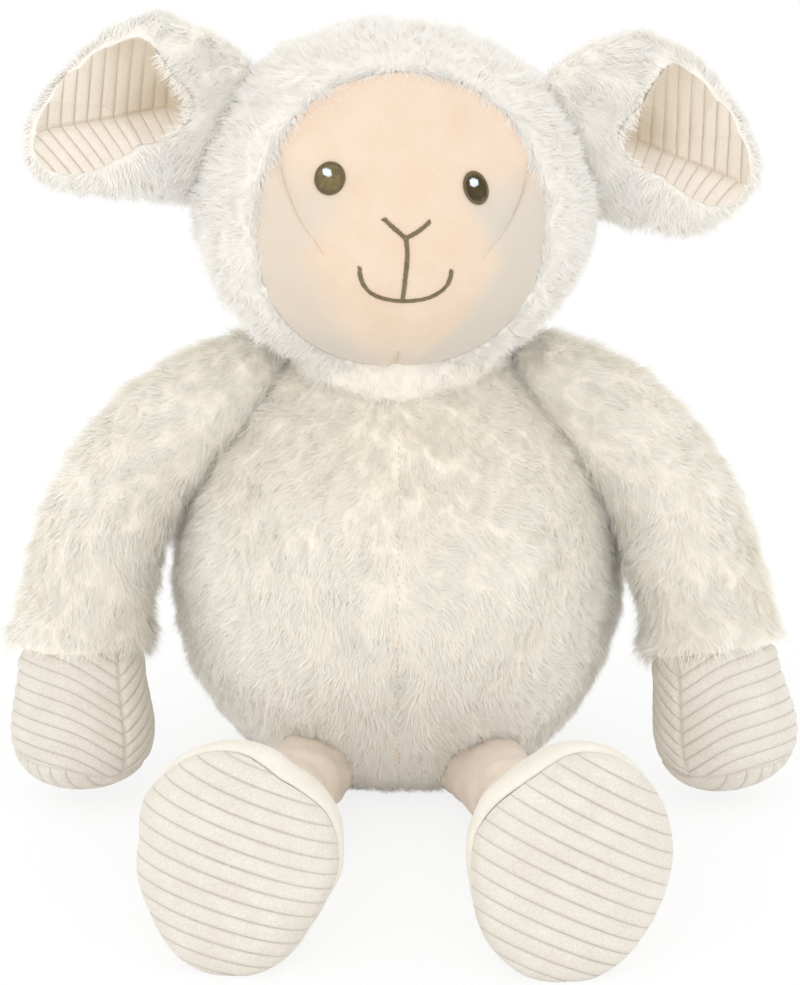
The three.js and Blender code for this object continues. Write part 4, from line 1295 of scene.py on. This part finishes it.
class SHEEP_OT_feet(Operator):
    """Makes the two feet: a velour upper and a ribbed corduroy sole"""

    bl_idname = "sheep.feet"
    bl_label = "Feet"

    def execute(self, context):
        velour = grain_material(
            "Cream velour", srgb(237, 233, 221), srgb(222, 214, 200), fibre=1500, patch=120,
            strengths=(0.25, 0.3), bump=0.45, sheen=0.3,
        )
        height = context.scene.sheep_sizes.rib_height / MM
        for name, sign in SIDES:
            places = [(1.045 * x, 1.03 * z + max(z, 0) * 0.07) for x, z in SOLE_PLACES[name]]
            self.outline = Outline(places, round_by=5)
            self.inner = math.radians(90 + 28 * sign)
            turned = rotation(about_z=sign * FOOT_TURN) @ rotation(about_x=FOOT_TILT)

            def stood(points):
                """Turns the foot and sets it on its ankle and the floor."""
                return self.rest(points @ turned.T + np.array(ANKLE[name]))

            def upper(angle, share):
                seam = self.seam(angle)
                outside, part = two_sheets(share, SHEETS["upper"])
                place = np.where(outside, seam * part, seam)
                points = self.place(angle, place)
                points[:, [0, 2]] *= np.where(outside, 1.0, part)[:, None]
                points[:, 1] += np.where(outside, 0.0, 1.5)
                points *= 1 - 0.02 * np.exp(-(((place - seam) / 0.02) ** 2))[:, None]
                return stood(points)

            piece = shaped_ball(f"{name}_foot_back", 128, 110, upper)
            puff(piece, (91 + sign, 0.5, 14))
            set_coordinates(piece, self.rest(coordinates(piece)))
            finish_piece(piece, velour, f"{name}_foot", [f"{name}_foot_upper"])

            slope, bend = SOLE_RIBS[name]
            slope = math.radians(slope)

            def sole(angle, share):
                seam = self.seam(angle)
                front, part = two_sheets(share, SHEETS["sole"])
                points = self.place(angle, np.where(front, 1 - (1 - seam) * part, seam))
                points[:, [0, 2]] *= np.where(front, 1.0, part)[:, None]
                x, z = points[:, 0], points[:, 2]
                run = x * math.cos(slope) + z * math.sin(slope)
                across = -x * math.sin(slope) + z * math.cos(slope)
                self.ribs = (across + bend * run**2 + 0.0012 * run * across) / CORD_PITCH
                rib = rib_profile(self.ribs) * smooth(1.0, 0.92, part)
                swell = 0.6 * np.sqrt(np.maximum(1 - part**3, 0))
                points[:, 1] -= np.where(front, height * rib + swell, -1.5)
                return stood(points)

            piece = shaped_ball(f"{name}_sole_cloth", 240, 170, sole)
            add_vectors(piece, "ribs", self.ribs)
            add_vectors(piece, "seams", -FAR, np.full(len(self.ribs), FAR))
            cord, nodes = bpy.data.materials["Cream corduroy"], [f"{name}_sole", f"{name}_foot_stuffing"]
            finish_piece(piece, cord, f"{name}_foot", nodes)
        return {"FINISHED"}

    def seam(self, angle):
        """The share along the foot, from heel to sole, at which the sole is sewn on."""
        shares = np.linspace(0, 1, 400)
        forward = np.maximum.accumulate(along(FOOT_STATIONS, shares, (FOOT["thick"], FOOT["tall"]))[:, 0])
        away = np.angle(np.exp(1j * (angle - self.inner)))
        return np.interp(0.66 + 0.18 * np.exp(-((away / 1.0) ** 2)), forward, shares)

    def place(self, angle, share):
        forward, full = along(FOOT_STATIONS, share, (FOOT["thick"], FOOT["tall"])).T
        reach = self.outline.radius(angle) * np.maximum(full, 0)
        return columns(reach * np.cos(angle), -forward * FOOT["thick"], reach * np.sin(angle))

    @staticmethod
    def rest(points):
        """Flattens a foot where it stands on the floor."""
        points[:, 2] = np.maximum(points[:, 2], 0.05)
        return points


class SHEEP_OT_stage(Operator):
    """Makes the pale floor, the soft studio light and the camera at the photograph's angle"""

    bl_idname = "sheep.stage"
    bl_label = "Stage"

    def execute(self, context):
        bpy.ops.object.select_all(action="DESELECT")
        bpy.ops.mesh.primitive_plane_add(size=12)
        floor = context.object
        floor.name = floor.data.name = "stage_floor"
        material, tree, shader = new_material("Pale floor", roughness=1.0)
        tree.put(shader["Base Color"], (0.95, 0.95, 0.95))
        part = tree.calc("MULTIPLY", tree.add("ShaderNodeLightPath")["Is Camera Ray"], 0.82)
        white = tree.add("ShaderNodeEmission", {"Strength": 1.0})["Emission"]
        lit = tree.nodes["Principled BSDF"].outputs["BSDF"]
        mixed = tree.add("ShaderNodeMixShader", {0: part, 1: lit, 2: white})["Shader"]
        tree.put(tree.nodes["Material Output"].inputs["Surface"], mixed)
        floor.data.materials.append(material)
        self.world(context)
        for label, place, size, power, aim in LAMPS:
            bpy.ops.object.light_add(type="AREA", location=place)
            lamp = context.object
            lamp.name = label
            lamp.data.energy, lamp.data.size = power, size
            lamp.rotation_euler = (Vector(aim) - Vector(place)).to_track_quat("-Z", "Y").to_euler()
        self.camera(context)
        context.scene.view_settings.view_transform = "Standard"
        return {"FINISHED"}

    @staticmethod
    def world(context):
        """Lights the sheep with a sky a little over white, which rays of sight and gloss see as white."""
        world = context.scene.world or bpy.data.worlds.new("World")
        context.scene.world = world
        world.use_nodes = True
        tree = Tree(world.node_tree)
        path = tree.add("ShaderNodeLightPath")
        seen = tree.calc("MAXIMUM", path["Is Camera Ray"], path["Is Glossy Ray"])
        seen = tree.calc("MAXIMUM", seen, path["Is Transmission Ray"])
        background = tree.nodes["Background"].inputs
        tree.put(background["Strength"], tree.mix(seen, SKY_LIGHT, 1.0))
        tree.put(background["Color"], (1, 1, 1))

    @staticmethod
    def camera(context):
        tilt, height = math.radians(CAMERA["tilt"]), CAMERA["height"]
        bpy.ops.object.camera_add(location=(0, -math.cos(tilt), CAMERA["aim"] + math.sin(tilt)))
        camera = context.object
        camera.rotation_euler = (math.radians(90) - tilt, 0, 0)
        camera.data.sensor_width = CAMERA["sensor"]
        camera.data.lens = CAMERA["focal"] * CAMERA["sensor"] / height
        camera.data.shift_x, camera.data.shift_y = (shift / height for shift in CAMERA["shift"])
        context.scene.camera = camera


OPERATORS = (
    SHEEP_OT_body, SHEEP_OT_neck, SHEEP_OT_head, SHEEP_OT_face, SHEEP_OT_embroidery,
    SHEEP_OT_ears, SHEEP_OT_arms, SHEEP_OT_legs, SHEEP_OT_feet, SHEEP_OT_stage,
)


class SHEEP_PT_panel(Panel):
    """Lists the sheep's sizes, colours and pieces"""

    bl_idname = "SHEEP_PT_panel"
    bl_label = "Plush sheep"
    bl_space_type = "VIEW_3D"
    bl_region_type = "UI"
    bl_category = "Sheep"

    def draw(self, context):
        for group in (context.scene.sheep_sizes, context.scene.sheep_colours):
            for name in group.__annotations__:
                self.layout.prop(group, name)
        for operator in OPERATORS:
            self.layout.operator(operator.bl_idname)


CLASSES = (SheepSizes, SheepColours, *OPERATORS, SHEEP_PT_panel)


def register():
    for entry in CLASSES:
        bpy.utils.register_class(entry)
    bpy.types.Scene.sheep_sizes = PointerProperty(type=SheepSizes)
    bpy.types.Scene.sheep_colours = PointerProperty(type=SheepColours)


def unregister():
    del bpy.types.Scene.sheep_colours
    del bpy.types.Scene.sheep_sizes
    for entry in reversed(CLASSES):
        bpy.utils.unregister_class(entry)


def main():
    register()
    for operator in OPERATORS:
        getattr(bpy.ops.sheep, operator.bl_idname.split(".")[1])()


if __name__ == "__main__":
    main()
